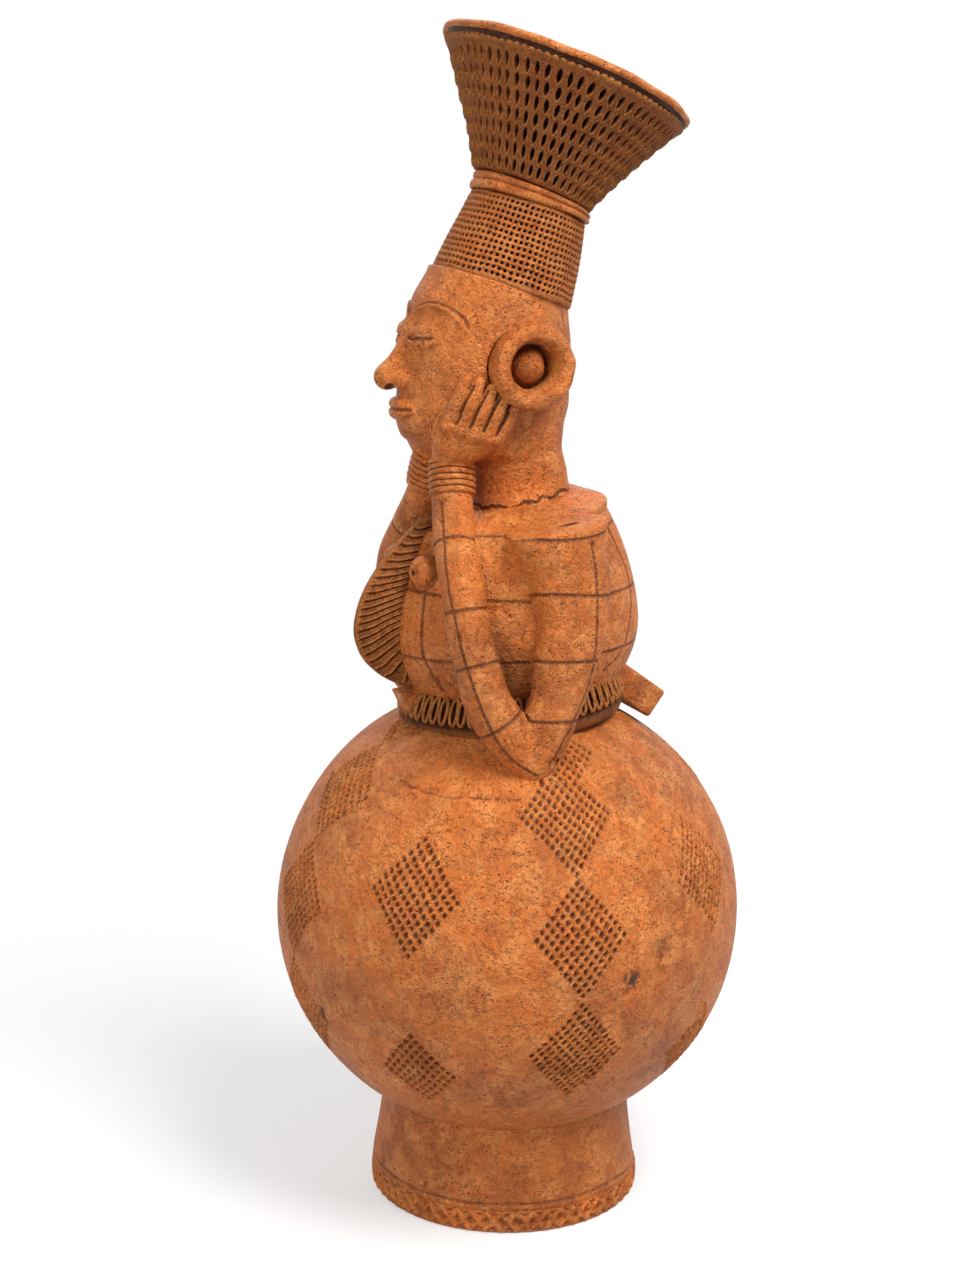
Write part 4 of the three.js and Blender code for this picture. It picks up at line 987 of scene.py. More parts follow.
def cheek(y, z, lift):
    wide, middle, deep = head_section(z)
    x = wide * np.sqrt(max(1 - ((y - middle) / deep) ** 2, 0.02))
    normal = np.array([x / wide**2, (y - middle) / deep**2, 0])
    return np.array([x, y, z]) + normal / np.linalg.norm(normal) * lift


def on_face(points, out=0.0):
    """Points given as x and z, laid on the front of the face"""
    return np.array([(x, face_front(x, z) - out, z) for x, z in points])


def arc(centre, wide, tall, start, end, count=12):
    """A part of an oval on the face, from and to an angle in degrees"""
    turn = np.radians(np.linspace(start, end, count))
    return np.stack([centre[0] + wide * np.cos(turn), centre[1] + tall * np.sin(turn)], 1)


def make_head(sizes):
    block = Clay((0.0, -58, YOKE_Z - 6), (33, 34, CROWN_Z + 12), 0.4)
    x, y, z = block.x, block.y, block.z
    wide, middle, deep = head_section(z)
    local = np.linalg.inv(CROWN)
    level = local[2, 0] * x + local[2, 1] * y + local[2, 2] * z + local[2, 3]
    narrow = 1 - 0.045 * smooth(level, -13, 0)
    skin = ellipse_field(x, y - middle, wide * narrow, deep * narrow) * 0.96
    block.skin = skin.astype(np.float32)
    # A schematic face: a straight nose, closed lips and lids with a plain slit under arched brows
    nose_line = on_face([(0, NOSE_Z + 21), (0, NOSE_Z + 14), (0, NOSE_Z + 7), (0, NOSE_Z + 2.6)], -1.5)
    nose_line[:, 1] -= [0, 1.0, 3.6, 6.8]
    block.join(block.coil(nose_line, [2.2, 3.0, 4.0, 4.9], 0.5), 3.5)
    wing = on_face([(5.2, NOSE_Z + 1.6)], 1.6)
    block.join(block.balls(wing, 3.1), 1.8)
    for side in (1, -1):
        stations = [(0, MOUTH_Z + side * 1.7), (4.4, MOUTH_Z + side * 1.5), (9.2, MOUTH_Z + side * 0.4)]
        block.join(block.coil(on_face(stations, 0.4), [2.5, 2.3, 0.9], 0.4), 1.1)
    eye = (11.0, EYE_Z)
    block.join(block.balls(on_face([eye], -3.4), 5.6), 2.0)
    for side in (1, -1):
        lid = arc(eye, 6.2, side * 2.6, 2, 178)
        thick = [0.7, 1.3, 1.6, 1.6, 1.7, 1.7]
        block.join(block.coil(on_face(lid, 0.5), thick + thick[::-1], 0.4), 0.8)
    brow = arc((11.5, EYE_Z + 3), 10.4, 8.6, 12, 168)
    block.join(block.coil(on_face(brow, -0.2), np.full(12, 1.0), 0.4), 1.0)
    # The slits of the lips and eyes, the line over the brows and the nostrils are darkened with dirt and painted
    # shade
    block.engrave(on_face([(-3, MOUTH_Z), (4, MOUTH_Z), (9.6, MOUTH_Z + 0.2)], 2), 0.55)
    block.engrave(on_face([(5.6, EYE_Z), (11, EYE_Z - 0.2), (16.2, EYE_Z)], 2), 0.6)
    block.engrave(on_face(arc((11.5, EYE_Z + 3), 12.3, 10.2, 8, 170), 1), 0.55, 0.8)
    nostril = on_face([(2.7, NOSE_Z - 1.2), (3.9, NOSE_Z - 0.9)], 5.5)
    block.engrave(nostril, 1.3, 1.0, settle=False)
    ear = np.sqrt((y - EAR_Y) ** 2 + (z - EAR_Z) ** 2)
    block.keep(-np.maximum(ear - 14.6, 17.5 - x), 0.4)
    # The crack at the foot of the neck, darkened with dirt and painted shade
    turn = np.linspace(-1.9, 1.9, 90)
    circle = np.stack([20 * np.cos(turn), 20 * np.sin(turn), 0 * turn], 1)
    ragged, fine = lumps(circle, 7, 12), lumps(circle, 2.6, 21)
    height = np.interp(turn, [-1.6, -0.75, 0, 0.6, 1.6], [273.4, 273.6, 277.0, 279.4, 280.4])
    height = height + 0.8 * ragged + 0.35 * fine
    crack = np.stack([18.5 * np.cos(turn), NECK_SET_BACK + 18.5 * np.sin(turn), height], 1)
    block.engrave(crack, 0.55, 1.2)
    block.keep(level + 0.1, 0.4)
    block.keep(-(skin + HEAD_WALL), 0.5)
    block.keep(YOKE_Z - 5.5 - z, 0.3)
    nodes = ["head", "nose", "upper_lip", "lower_lip"]
    nodes += [f"{side}_{which}_eyelid" for side in ("left", "right") for which in ("upper", "lower")]
    new_piece("head_with_face", block.surface(both_sides=True), "clay", *nodes)


# Palm, from the wrist up: place to the side, back and up, half width and half thickness, in palm widths
PALM = np.array([
    (0.375, -0.033, 0.25, 0.74, 0.55), (0.75, 0.017, 0.583, 0.96, 0.47), (1, 0.117, 1, 1, 0.37),
    (1.125, 0.217, 1.42, 0.94, 0.25),
])


def make_hands(sizes):
    palm, pitch, radius, length = 12.0, 4.4, 2.5, 30.2
    spine = forearm_path()
    wrist = spine[-1]
    block = Clay((2, -48, WRIST_Z - 4), (38, -2, WRIST_Z + 35), 0.3)
    stations = np.concatenate([[wrist], wrist + PALM[:, :3] * palm])
    shape = np.concatenate([[(7.4, 7.0)], PALM[:, 3:] * palm])
    centres = along_path(stations, 0.7)
    keys = np.linspace(0, 1, len(stations))
    shape = flow(keys, shape, np.linspace(0, 1, len(centres)))
    ahead, flat = np.gradient(centres, axis=0), np.array([0.42, 0.9, 0])
    form = np.full(block.shape, FAR, np.float32)
    for centre, along, (wide, thin) in zip(centres, ahead, shape):
        along = along / np.linalg.norm(along)
        side = flat - along * (flat @ along)
        side /= np.linalg.norm(side)
        other = np.cross(along, side)
        part, _ = block.near(centre, wide + 3)
        rel = [
            axis[tuple(p if n > 1 else slice(None) for p, n in zip(part, axis.shape))] - c
            for axis, c in zip((block.x, block.y, block.z), centre)
        ]
        a, b, c = (rel[0] * way[0] + rel[1] * way[1] + rel[2] * way[2] for way in (side, other, along))
        size = np.sqrt((a / wide) ** 2 + (b / thin) ** 2 + (c / 4) ** 2)
        form[part] = np.minimum(form[part], (size - 1) * min(thin, 4))
    block.skin = form
    for i, share in enumerate((1, 0.967, 0.887, 0.801, 0.642)):
        y = wrist[1] + pitch * (i - 1)
        base = cheek(y, wrist[2] + (1.367 - 0.117 * i) * palm, 1.2 * radius)
        tip = cheek(y + pitch, wrist[2] + share * length, 1.1 * radius)
        knuckle = mix(base, tip, -0.25) + [0.6, 0, 0]
        middle = mix(base, tip, 0.45) + [0.8, 0, 0]
        stations = [knuckle, base, middle, mix(base, tip, 0.85), tip]
        finger = block.coil(stations, [2.3, 2.75, 2.7, 2.6, 2.1], 0.4, 3.0)
        block.join(finger, mix(2.2, 0.2, smooth(block.z, base[2] - 3, base[2] + 2)))
    # Gaps cut between the fingers, darkened with painted shade and dirt
    for i in range(4):
        y = wrist[1] + pitch * (i - 0.5)
        base = cheek(y, wrist[2] + (1.2 - 0.117 * i) * palm, 2 * radius)
        tip = cheek(y + pitch, wrist[2] + (0.93, 0.88, 0.81, 0.69)[i] * length, 2 * radius)
        block.engrave(np.array([base, mix(base, tip, 0.5), tip]), 0.55, 1.1)
    new_pair("hand_on_cheek", block.surface(), "hand")
    along = spine[-1] - spine[-2]
    bands, band = 6, 2.35
    reach = bands * band
    wall = [(6.6, 0), (7.4, 0), (8.9, 0.6), (8.9, reach - 0.6), (7.4, reach), (6.6, reach)]
    ring = turned(wall, passes=1)
    seat = facing(wrist - along / np.linalg.norm(along) * (reach + 0.5), along)

    def grooves(turn, length, points):
        height = (points - seat[:3, 3]) @ seat[:3, 2]
        outer = np.linalg.norm(points - seat[:3, 3] - height[..., None] * seat[:3, 2], axis=-1) > 7.5
        phase = (height + 0.15 * lumps(points, 8, 9)) / band
        depth = np.abs(np.sin(np.pi * phase)) ** 0.4
        within = outer * smooth(np.minimum(height, reach - height), 1.2, 1.6)
        # The grooves between the bands are darkened with dirt and painted shade
        return within * (depth - 1) * 1.15, {"dirt": within * smooth(depth, 0.8, 0.4)}, None

    form = sheet(lambda turn, length: carried(ring(turn, length), seat), grooves, (32, 24), 3)
    new_pair("wrist_bands", form, "bracelet")


# Ears and chest bosses

def make_ears(sizes):
    seat = facing(cheek(EAR_Y + 1.6, EAR_Z, 0), (1, 0, 0))
    ring = turned([
        (8.0, -7), (14.8, -7), (15.8, 1.5), (15.8, 5.4), (14.9, 7.5), (13.2, 8.3), (11.2, 8.1), (9.7, 6.9),
        (8.6, 3.0), (7.8, -2.0),
    ])
    plug = turned([
        (0, -7), (8.1, -7), (8.1, -2.8), (6.6, -2.4), (6.0, 0.2), (4.8, 2.4), (2.8, 3.9), (0, 4.4),
    ], closed=False)

    def shallow(turn, length, points):
        inner = np.linalg.norm((points - seat[:3, 3]) * [0, 1, 1], axis=-1)
        # The gap between the ring and the plug is darkened as painted shade
        return 0 * turn, {"dirt": 0.5 * smooth(inner, 8.8, 7.6) * smooth(inner, 5.8, 6.8)}, None

    for name, form, cells in (("ear_ring", ring, (72, 48)), ("ear_plug", plug, (48, 28))):
        def place(turn, length):
            points = carried(form(turn, length), seat)
            return points + 0.16 * lumps(points, 9, 4)[..., None]
        new_pair(f"{name}_coil", sheet(place, shallow, cells), name)


def nipple_seat():
    wide, deep = torso_size(np.array(NIPPLE_SHARE))
    y = TORSO_SET_BACK - deep * (1 - (NIPPLE_OUT / wide) ** 2) ** 0.5
    spot = (NIPPLE_OUT, y, WAIST_Z + NIPPLE_SHARE * TORSO_HEIGHT)
    return facing(spot, (np.sin(NIPPLE_TURN), -np.cos(NIPPLE_TURN), 0))


def make_nipples(sizes):
    seat = nipple_seat()
    boss = turned([
        (0, -4), (6, -4), (6.1, 0.6), (5.2, 2.5), (3.3, 4.3), (1.5, 4.9), (0.9, 4.6), (0.8, 2), (0, 1.7),
    ], closed=False)

    def pit(turn, length, points):
        away = np.linalg.norm(np.cross(points - seat[:3, 3], seat[:3, 2]), axis=-1)
        # The pit at the tip and the crease at the foot of the boss are darkened with painted shade and dirt
        return 0 * turn, {"dirt": smooth(away, 1.3, 0.7) + 0.4 * smooth(away, 5.6, 6.1)}, None

    form = sheet(lambda turn, length: carried(boss(turn, length), seat), pit, (40, 36))
    new_pair("chest_boss", form, "nipple")


# Belt, aprons and chest panel

def make_belt(sizes):
    low = globe_surface(BELT_RADIUS - BELT_TUCK)
    high, rising = BELT_TOP_Z + 6, 0.09
    core = turned([
        (28, low - 1), (41.6, low - 1.4), (43.0, low + 1.6), (43.2, low + 3.6), (41.6, low + 6),
        (39.8, high - 3), (38.6, high - 0.8), (28, high - 0.8),
    ])

    def dark(turn, length, points):
        # Painted shade: the core is dark above its bottom band, where it lies behind and between the loops, and
        # lighter in that band
        return 0 * turn, {"dirt": 1.0 - 0.9 * smooth(points[..., 2], low + 3.6, low + 2.6)}, None

    form = sheet(core, dark, (96, 32))
    form[0][:, 2] += rising * form[0][:, 1]
    form[0][:, 1] += TORSO_SET_BACK
    new_piece("waist_coil", form, "carved_clay", "waist_belt", finish="Carved terracotta")
    # One loop is an upright oval of thin coil, tucked into the core at its top and bottom
    stations, sides, wire = 16, 5, 0.7
    middle, half = (low + 4.6 + high) / 2, (high - low - 4.6) / 2 - wire
    turn = np.linspace(0, 2 * np.pi, stations, endpoint=False)
    rise = np.sin(turn)
    cone = mix(43.7, 40.2, (1 + rise) / 2) - 0.9 * rise**6
    loop = np.stack([cone, 1.6 * np.cos(turn), middle + half * rise], 1)
    ahead = np.roll(loop, -1, 0) - np.roll(loop, 1, 0)
    ahead /= np.linalg.norm(ahead, axis=1, keepdims=True)
    side = np.cross(ahead, [1.0, 0, 0])
    side /= np.linalg.norm(side, axis=1, keepdims=True)
    other = np.cross(ahead, side)
    points = np.concatenate([
        loop + wire * (np.cos(angle) * side + np.sin(angle) * other)
        for angle in np.linspace(0, 2 * np.pi, sides, endpoint=False)
    ])
    i, j = (grid.ravel() for grid in np.meshgrid(np.arange(sides), np.arange(stations), indexing="ij"))
    a, b = i * stations + j, i * stations + (j + 1) % stations
    c, d = (i + 1) % sides * stations + (j + 1) % stations, (i + 1) % sides * stations + j
    material = bpy.data.materials["Carved terracotta"]
    # The loops are painted paler than the core, a painted highlight on the raised coil with some wear
    highlight_and_wear = {"dirt": np.full(len(points), -0.35)}
    single = new_mesh("single_loop", points, halves(a, b, c, d), highlight_and_wear, material)
    host = bpy.data.objects.new("waist_loops", bpy.data.meshes.new("waist_loops"))
    bpy.context.scene.collection.objects.link(host)
    through_tree(host, bpy.data.node_groups["Belt loops"], **{
        "Loops": sizes.belt_loops, "Loop": single, "Material": material,
    })
    leaning = Matrix.Translation((0, TORSO_SET_BACK * MM, 0))
    leaning[2][1] = rising
    host.data.transform(leaning)
    bpy.data.objects.remove(single)
    finish_piece(host, "carved_clay")


def box_field(block, place, half, soft):
    """A box with soft edges, by how far points lie from it"""
    inverse = np.linalg.inv(place)
    inside = [row[0] * block.x + row[1] * block.y + row[2] * block.z + row[3] for row in inverse[:3]]
    gaps = [np.abs(axis) - (size - soft) for axis, size in zip(inside, half)]
    outside = np.sqrt(sum(np.maximum(gap, 0) ** 2 for gap in gaps))
    return outside + np.minimum(np.maximum.reduce(np.broadcast_arrays(*gaps)), 0) - soft


def make_aprons(sizes):
    block = Clay((-16, 26, 186), (16, 64, 216), 0.45)
    inset = BELT_RADIUS - BELT_TUCK - 0.8 * WAIST_RADIUS
    slope, half_width, half_thick = 0.72, 14, 6.0
    top = BELT_TOP_Z + 9 + inset * slope
    length = (60 - BELT_RADIUS + inset) * np.hypot(1, slope)
    place = shift(0, BELT_RADIUS - inset, top) @ tilt(np.degrees(np.arctan(slope)))
    place = place @ shift(0, length / 2, -half_thick)
    block.skin = box_field(block, place, (half_width, length / 2, half_thick), 1.2).astype(np.float32)
    block.keep(globe_skin_side(block), 0.2)
    new_piece("rear_apron_slab", block.surface(), "clay", "rear_apron")
    face = TORSO_SET_BACK - BELT_RADIUS
    high = WAIST_Z + 9.2
    tab = Clay((-9, face - 8, high - 13), (9, face + 8, high + 3), 0.35)
    # A flat top, and a front that slants back to the belt
    slant = 0.89 * (face - 5.0 - tab.y) + 0.455 * (high - tab.z)
    tab.skin = np.broadcast_to(np.abs(tab.x) - 5.4, tab.shape).astype(np.float32)
    for side in (slant, tab.z - high, high - 9.5 - tab.z, tab.y - face - 5):
        tab.keep(side, 1.2)
    new_piece("front_tab_wedge", tab.surface(), "clay", "front_tab")


def globe_skin_side(block):
    """How far points lie inside the globe"""
    flat = (block.x**2 + block.y**2) / GLOBE_RADIUS**2
    return (1 - np.sqrt(flat + ((block.z - GLOBE_Z) / GLOBE_RISE) ** 2)) * GLOBE_RADIUS


# How far the panel stands out of the chest at shares of its height, in mm
PANEL_OUT = np.array([
    (0, 0.8), (0.06, 6.5), (0.15, 11.0), (0.29, 13.4), (0.45, 13.4), (0.62, 11.6), (0.8, 7.4), (0.92, 3.6),
    (1, 0.8),
])


def make_panel(sizes):
    base = WAIST_Z + PANEL_FOOT

    def seat(share):
        """Where the chest lies behind the panel, and how far the panel stands out of it"""
        _, deep = torso_size((PANEL_FOOT + share * PANEL_HEIGHT) / TORSO_HEIGHT)
        return TORSO_SET_BACK - deep, flow(PANEL_OUT[:, 0], PANEL_OUT[:, 1], share)

    def section(length):
        share = np.clip(length, 0, 1)
        back, out = seat(share)
        front = back - out
        swell = out / PANEL_OUT[:, 1].max()
        z = base + share * PANEL_HEIGHT
        wide = PANEL_HALF * (0.35 + 0.65 * swell)
        rise = 5 * swell
        half = [
            (0.0, front - 0.2, z), (1.7, front + 0.4, z), (2.2, front + 1.6, z),
            (0.6 * wide + 1, mix(front, back, 0.45), z + 0.5 * rise),
            (wide, back + 1.5, z + rise), (0.7 * wide, back + 7, z + rise),
        ]
        other = [(-x, y, height) for x, y, height in half[:0:-1]]
        loop = half + [(0.0, back + 9, z + rise)] + other
        return np.stack([np.stack(np.broadcast_arrays(*spot), -1) for spot in loop], 0)

    def place(turn, length):
        loop = section(length)
        count = len(loop)
        at = (turn % 1) * count
        low = np.floor(at).astype(int)
        t = (at - low)[..., None]
        corners = [((low + k) % count)[None, ..., None].repeat(3, -1) for k in (-1, 0, 1, 2)]
        a, b, c, d = (np.take_along_axis(loop, corner, 0)[0] for corner in corners)
        skin = (b * 2 + (c - a) * t + (2 * a - 5 * b + 4 * c - d) * t**2 + (3 * b - a - 3 * c + d) * t**3) / 2
        # Both ends close in a rounded tip
        end = np.sqrt(smooth(np.minimum(length, 1 - length), 0.0, 0.035))[..., None]
        return mix(loop.mean(axis=0), skin, end)

    def barbs(turn, length, points):
        back, out = seat(np.clip(length, 0, 1))
        inward = points[..., 1] - (back - out)
        outer = smooth(np.abs(points[..., 0]), 1.6, 2.2) * smooth(np.minimum(length, 1 - length), 0.02, 0.07)
        steep = mix(0.85, 0.08, smooth(length, 0.1, 0.85))
        level = (points[..., 2] - base - steep * inward) / PANEL_HEIGHT * sizes.panel_barbs
        level = (level + 0.07 * lumps(points, 9, 8)) % 1
        cut = smooth(np.abs(level - 0.5), 0.15, 0.05) * outer
        ridge = smooth(np.abs(level - 0.76), 0.12, 0.04) * outer
        # Cuts darkened with dirt and painted shade; ridges and the midrib at the front edge paled with wear and
        # painted highlight
        dirt = 0.9 * cut - 0.6 * ridge - 0.25 * (1 - outer) * (inward < 4)
        return 0.3 * ridge - 0.9 * cut, {"dirt": dirt}, None

    form = sheet(place, barbs, (40, 66), 2, tolerance=0.12)
    new_piece("chest_panel_leaf", form, "carved_clay", "chest_panel", finish="Carved terracotta")


# Headdress

def flare_radius(share):
    """The radius of the outside of the flare, at shares of its height"""
    return mix(FLARE_BASE, FLARE_TOP, 0.82 * share + 0.18 * share**2)


def make_headdress(sizes):
    inner = BASKET_TOP - BASKET_WALL
    basket = turned([
        (BASKET_BASE - 6, -1.0), (BASKET_BASE + 0.2, -1.0), (BASKET_BASE + 0.7, 0.6),
        (mix(BASKET_BASE, BASKET_TOP, 0.9) - 0.3, BASKET_HEIGHT - 1.4), (BASKET_TOP - 1.2, BASKET_HEIGHT),
        (inner, BASKET_HEIGHT),
    ])

    def leaning(form, seat, seed, size=0.2, back=0.0):
        def place(turn, length):
            points = form(turn, length)
            points = carried(points + back * points[..., 2:] * [0, 1, 0], seat)
            return points + size * lumps(points, 17, seed)[..., None]
        return place

    def basket_dots(turn, length, points):
        local = carried(points, np.linalg.inv(CROWN))
        flat = np.linalg.norm(local[..., :2], axis=-1)
        side = flat - mix(BASKET_BASE, BASKET_TOP, local[..., 2] / BASKET_HEIGHT)
        row = (local[..., 2] - 1.0 + 0.3 * lumps(points, 13, 14)) / (BASKET_HEIGHT - 2.2) * sizes.basket_rows
        face = smooth(side, -3.2, -2.2) * (row > 0) * (row < sizes.basket_rows)
        column = turn * sizes.basket_dots + 0.12 * lumps(points * [1, 1, 2.5], 9, 15)
        ridge = face * np.cos(2 * np.pi * row)
        # Hollows between the rows painted darker with dirt and painted shade, ridges paler with painted
        # highlight
        marks = {"dirt": 0.1 - 0.22 * ridge, "row": row, "column": column, "face": face}
        return 0.12 * ridge, marks, face > 0

    form = sheet(leaning(basket, CROWN, 11, back=0.038), basket_dots, (72, 32), 3)
    # The dots are darkened with dirt and painted shade, and their lips paled with wear and painted highlight
    dots = {
        "Half Width": 0.29, "Half Height": 0.28, "Side Power": 2.2, "End Power": 2.2, "Edge": 0.6,
        "Depth": sizes.dot_depth * 1.3, "Lip": 0.0001, "Lip Width": 2.5, "Dirt": 1.15, "Wear": 0.2,
    }
    new_piece("headdress_basket_wall", form, "carved_clay", "headdress_basket",
              finish="Punched terracotta", press=dots)

    # The collar is a wedge of two coils, between the top of the basket and the foot of the flare
    coils = turned([(inner, 1.05), (inner, -0.05)] + [(COLLAR_RADIUS - back, share) for back, share in (
        (1.6, -0.05), (0.4, 0.03), (0.0, 0.2), (0.3, 0.42), (1.5, 0.52), (0.5, 0.6), (0.1, 0.74), (0.5, 0.88),
        (1.8, 1.0),
    )])

    def wedge(turn, length):
        points = coils(turn, length)
        share = points[..., 2:]
        flat = points * [1, 1, 0] + [0, 1.0, 0]
        ends = mix(carried(flat + [0, 0, BASKET_HEIGHT], CROWN), carried(flat, MOUTH), share)
        return ends + 0.12 * lumps(ends, 15, 12)[..., None]

    def collar_groove_shade(turn, length, points):
        radius = np.linalg.norm(coils(turn, length)[..., :2], axis=-1)
        # The grooves between the coils are darkened with painted shade and dirt
        return 0 * turn, {"dirt": 0.7 * smooth(radius, COLLAR_RADIUS - 0.7, COLLAR_RADIUS - 1.5)}, None

    new_piece("headdress_collar_coils", sheet(wedge, collar_groove_shade, (96, 48)), "clay", "headdress_collar")

    shares = np.linspace(0, 1, 24)
    outer = np.stack([flare_radius(shares), shares * FLARE_HEIGHT], 1)
    outer[-2:, 0] += [0.2, 1.3]
    mouth = FLARE_TOP - 6
    bore = np.array([
        (mouth, FLARE_HEIGHT), (mix(inner, mouth, 0.5), 0.58 * FLARE_HEIGHT), (inner, 0.1 * FLARE_HEIGHT),
        (inner, 0),
    ])
    flare = turned(np.concatenate([outer, bore]), passes=1)

    def almonds(turn, length, points):
        local = carried(points, np.linalg.inv(FLARE))
        share = local[..., 2] / FLARE_HEIGHT
        flat = np.linalg.norm(local[..., :2], axis=-1)
        side = flat - flare_radius(share)
        row = (share - 0.02 + 0.006 * lumps(points, 14, 16)) / 0.9 * sizes.flare_rows + 0.5
        face = smooth(side, -3.0, -2.0) * (row > 0.5) * (row < sizes.flare_rows + 0.5)
        # Each row has its own count of marks, fewer toward the foot of the flare
        count = np.round(sizes.flare_marks * mix(0.67, 1.0, np.clip(np.round(row) / sizes.flare_rows, 0, 1)))
        column = turn * count + 0.1 * lumps(points, 12, 17)
        # A painted highlight on the upper outer edge of the flare
        top_edge_highlight = -0.5 * smooth(share, 0.955, 0.975) * (side > -1.5)
        return 0 * turn, {"dirt": top_edge_highlight, "row": row, "column": column, "face": face}, face > 0

    form = sheet(leaning(flare, FLARE, 13), almonds, (96, 26), 3)
    # The almonds are painted dark with painted shade and dirt, and the lips below them pale, a painted highlight
    # where they face up
    pointed = {
        "Half Width": 0.23, "Half Height": 0.43, "Side Power": 1.2, "End Power": 2.0, "Edge": 0.45,
        "Depth": sizes.flare_depth, "Lip": 0.0006, "Lip Width": 0.6, "Lip Below": 0.85, "Stagger": 1.0,
        "Row Period": 2.0, "Dirt": 2.0, "Wear": 1.0,
    }
    new_piece("headdress_flare_wall", form, "carved_clay", "headdress_flare",
              finish="Carved terracotta", press=pointed)

    edge = turned([
        (mouth, -0.4), (FLARE_TOP - 0.8, -0.4), (FLARE_TOP - 0.8, 1.2), (RIM_RADIUS - 0.4, 1.6),
        (RIM_RADIUS + 0.3, 2.8), (RIM_RADIUS - 0.5, 4.0), (RIM_RADIUS - 2.4, 4.7), (FLARE_TOP - 5, 4.6),
        (FLARE_TOP - 6.1, 3.6),
    ])
    seat = FLARE @ shift(0, 0, FLARE_HEIGHT)

    def shade_under_rim(turn, length, points):
        local = carried(points, np.linalg.inv(seat))
        under = np.linalg.norm(local[..., :2], axis=-1) < RIM_RADIUS - 1.0
        # Painted shade in the groove under the lip of the rim
        return 0 * turn, {"dirt": 1.1 * under * smooth(local[..., 2], 1.9, 1.3)}, None

    form = sheet(leaning(edge, seat, 18, 0.25), shade_under_rim, (128, 64))
    new_piece("headdress_rim_coil", form, "clay", "headdress_rim")


# Camera, light and floor

def looked_at(tree):
    """1 where the camera sees a thing, straight, mirrored or through something"""
    seen = 0.0
    for ray in ("Is Camera Ray", "Is Glossy Ray", "Is Transmission Ray"):
        ray = node(tree, "ShaderNodeLightPath", None, None, ray)
        seen = node(tree, MATH, LARGER, {0: ray, 1: seen})
    return seen


# The studio: where the camera stands in metres, its turn, fall and roll in degrees and its lens in mm
CAMERA_PLACE, CAMERA_TURNS, CAMERA_LENS = (0.7634, -0.3056, 0.3949), (69.0, 12.0, 0.6), 61.594
# The lamps: name, place and size in metres, and power
LAMPS = (
    ("key", (0.95, 0.42, 1.6), 0.9, 34.0), ("fill", (0.9, -1.15, 0.9), 1.1, 11.0),
    ("back", (-1.2, 0.2, 1.3), 1.2, 9.0),
)
FLOOR_RADIUS, WHITE = 3, (1, 1, 1, 1)


def make_stage(sizes):
    scene = bpy.context.scene
    scene.view_settings.view_transform = "Standard"
    turn, fall, roll = np.radians(CAMERA_TURNS)
    ahead = np.array([-np.sin(turn) * np.cos(fall), np.cos(turn) * np.cos(fall), -np.sin(fall)])
    level = np.array([np.cos(turn), np.sin(turn), 0])
    raised = np.cross(level, ahead)
    right = level * np.cos(roll) + raised * np.sin(roll)
    up = raised * np.cos(roll) - level * np.sin(roll)
    place = Matrix.Identity(4)
    for row in range(3):
        place[row][:] = (right[row], up[row], -ahead[row], CAMERA_PLACE[row])
    lens = bpy.data.cameras.new("studio_camera")
    lens.sensor_fit, lens.sensor_height, lens.lens = "VERTICAL", 36.0, CAMERA_LENS
    camera = bpy.data.objects.new("studio_camera", lens)
    camera.matrix_world = place
    scene.collection.objects.link(camera)
    scene.camera = camera
    for name, spot, size, power in LAMPS:
        light = bpy.data.lights.new(name, "AREA")
        light.shape, light.size, light.energy = "DISK", size, power
        lamp = bpy.data.objects.new(name, light)
        lamp.location = spot
        lamp.rotation_euler = (Vector((0, 0, 0.22)) - Vector(spot)).to_track_quat("-Z", "Y").to_euler()
        scene.collection.objects.link(lamp)
    world = bpy.data.worlds.new("studio")
    scene.world = world
    world.use_nodes = True
    tree = world.node_tree
    tree.nodes.clear()
    strength = node(tree, RANGE, None, {"Value": looked_at(tree), "To Min": sizes.fill, "To Max": 1.0})
    glow = node(tree, "ShaderNodeBackground", None, {"Color": WHITE, "Strength": strength})
    node(tree, "ShaderNodeOutputWorld", None, {"Surface": glow})
    mesh = bpy.data.meshes.new("studio_floor")
    corners = [
        (FLOOR_RADIUS * np.cos(a), FLOOR_RADIUS * np.sin(a), -0.0002)
        for a in np.linspace(0, 2 * np.pi, 64, endpoint=False)
    ]
    mesh.from_pydata(corners, [], [tuple(range(64))])
    floor = bpy.data.objects.new("studio_floor", mesh)
    scene.collection.objects.link(floor)
    paper = bpy.data.materials.new("Matt white paper")
    paper.use_nodes = True
    tree = paper.node_tree
    tree.nodes.clear()
    # Matt paper shows the soft shadow of the foot and fades to plain white farther off
    seen = looked_at(tree)
    matt = node(tree, "ShaderNodeBsdfDiffuse", None, {"Color": (0.5, 0.5, 0.5, 1)})
    lift = node(tree, MATH, TIMES, {0: seen, 1: 0.46})
    lift = node(tree, "ShaderNodeEmission", None, {"Color": WHITE, "Strength": lift})
    near = node(tree, "ShaderNodeAddShader", None, {0: matt, 1: lift})
    place = node(tree, "ShaderNodeTexCoord", None, None, "Object")
    away = node(tree, VECTOR, {"operation": "LENGTH"}, {0: place}, "Value")
    away = node(tree, RANGE, SOFT, {"Value": away, "From Min": 0.15, "From Max": 0.6})
    away = node(tree, MATH, TIMES, {0: away, 1: seen})
    far = node(tree, "ShaderNodeEmission", None, {"Color": WHITE, "Strength": 1.0})
    both = node(tree, "ShaderNodeMixShader", None, {0: away, 1: near, 2: far})
    node(tree, "ShaderNodeOutputMaterial", None, {"Surface": both})
    mesh.materials.append(paper)


# Settings, operators and panel

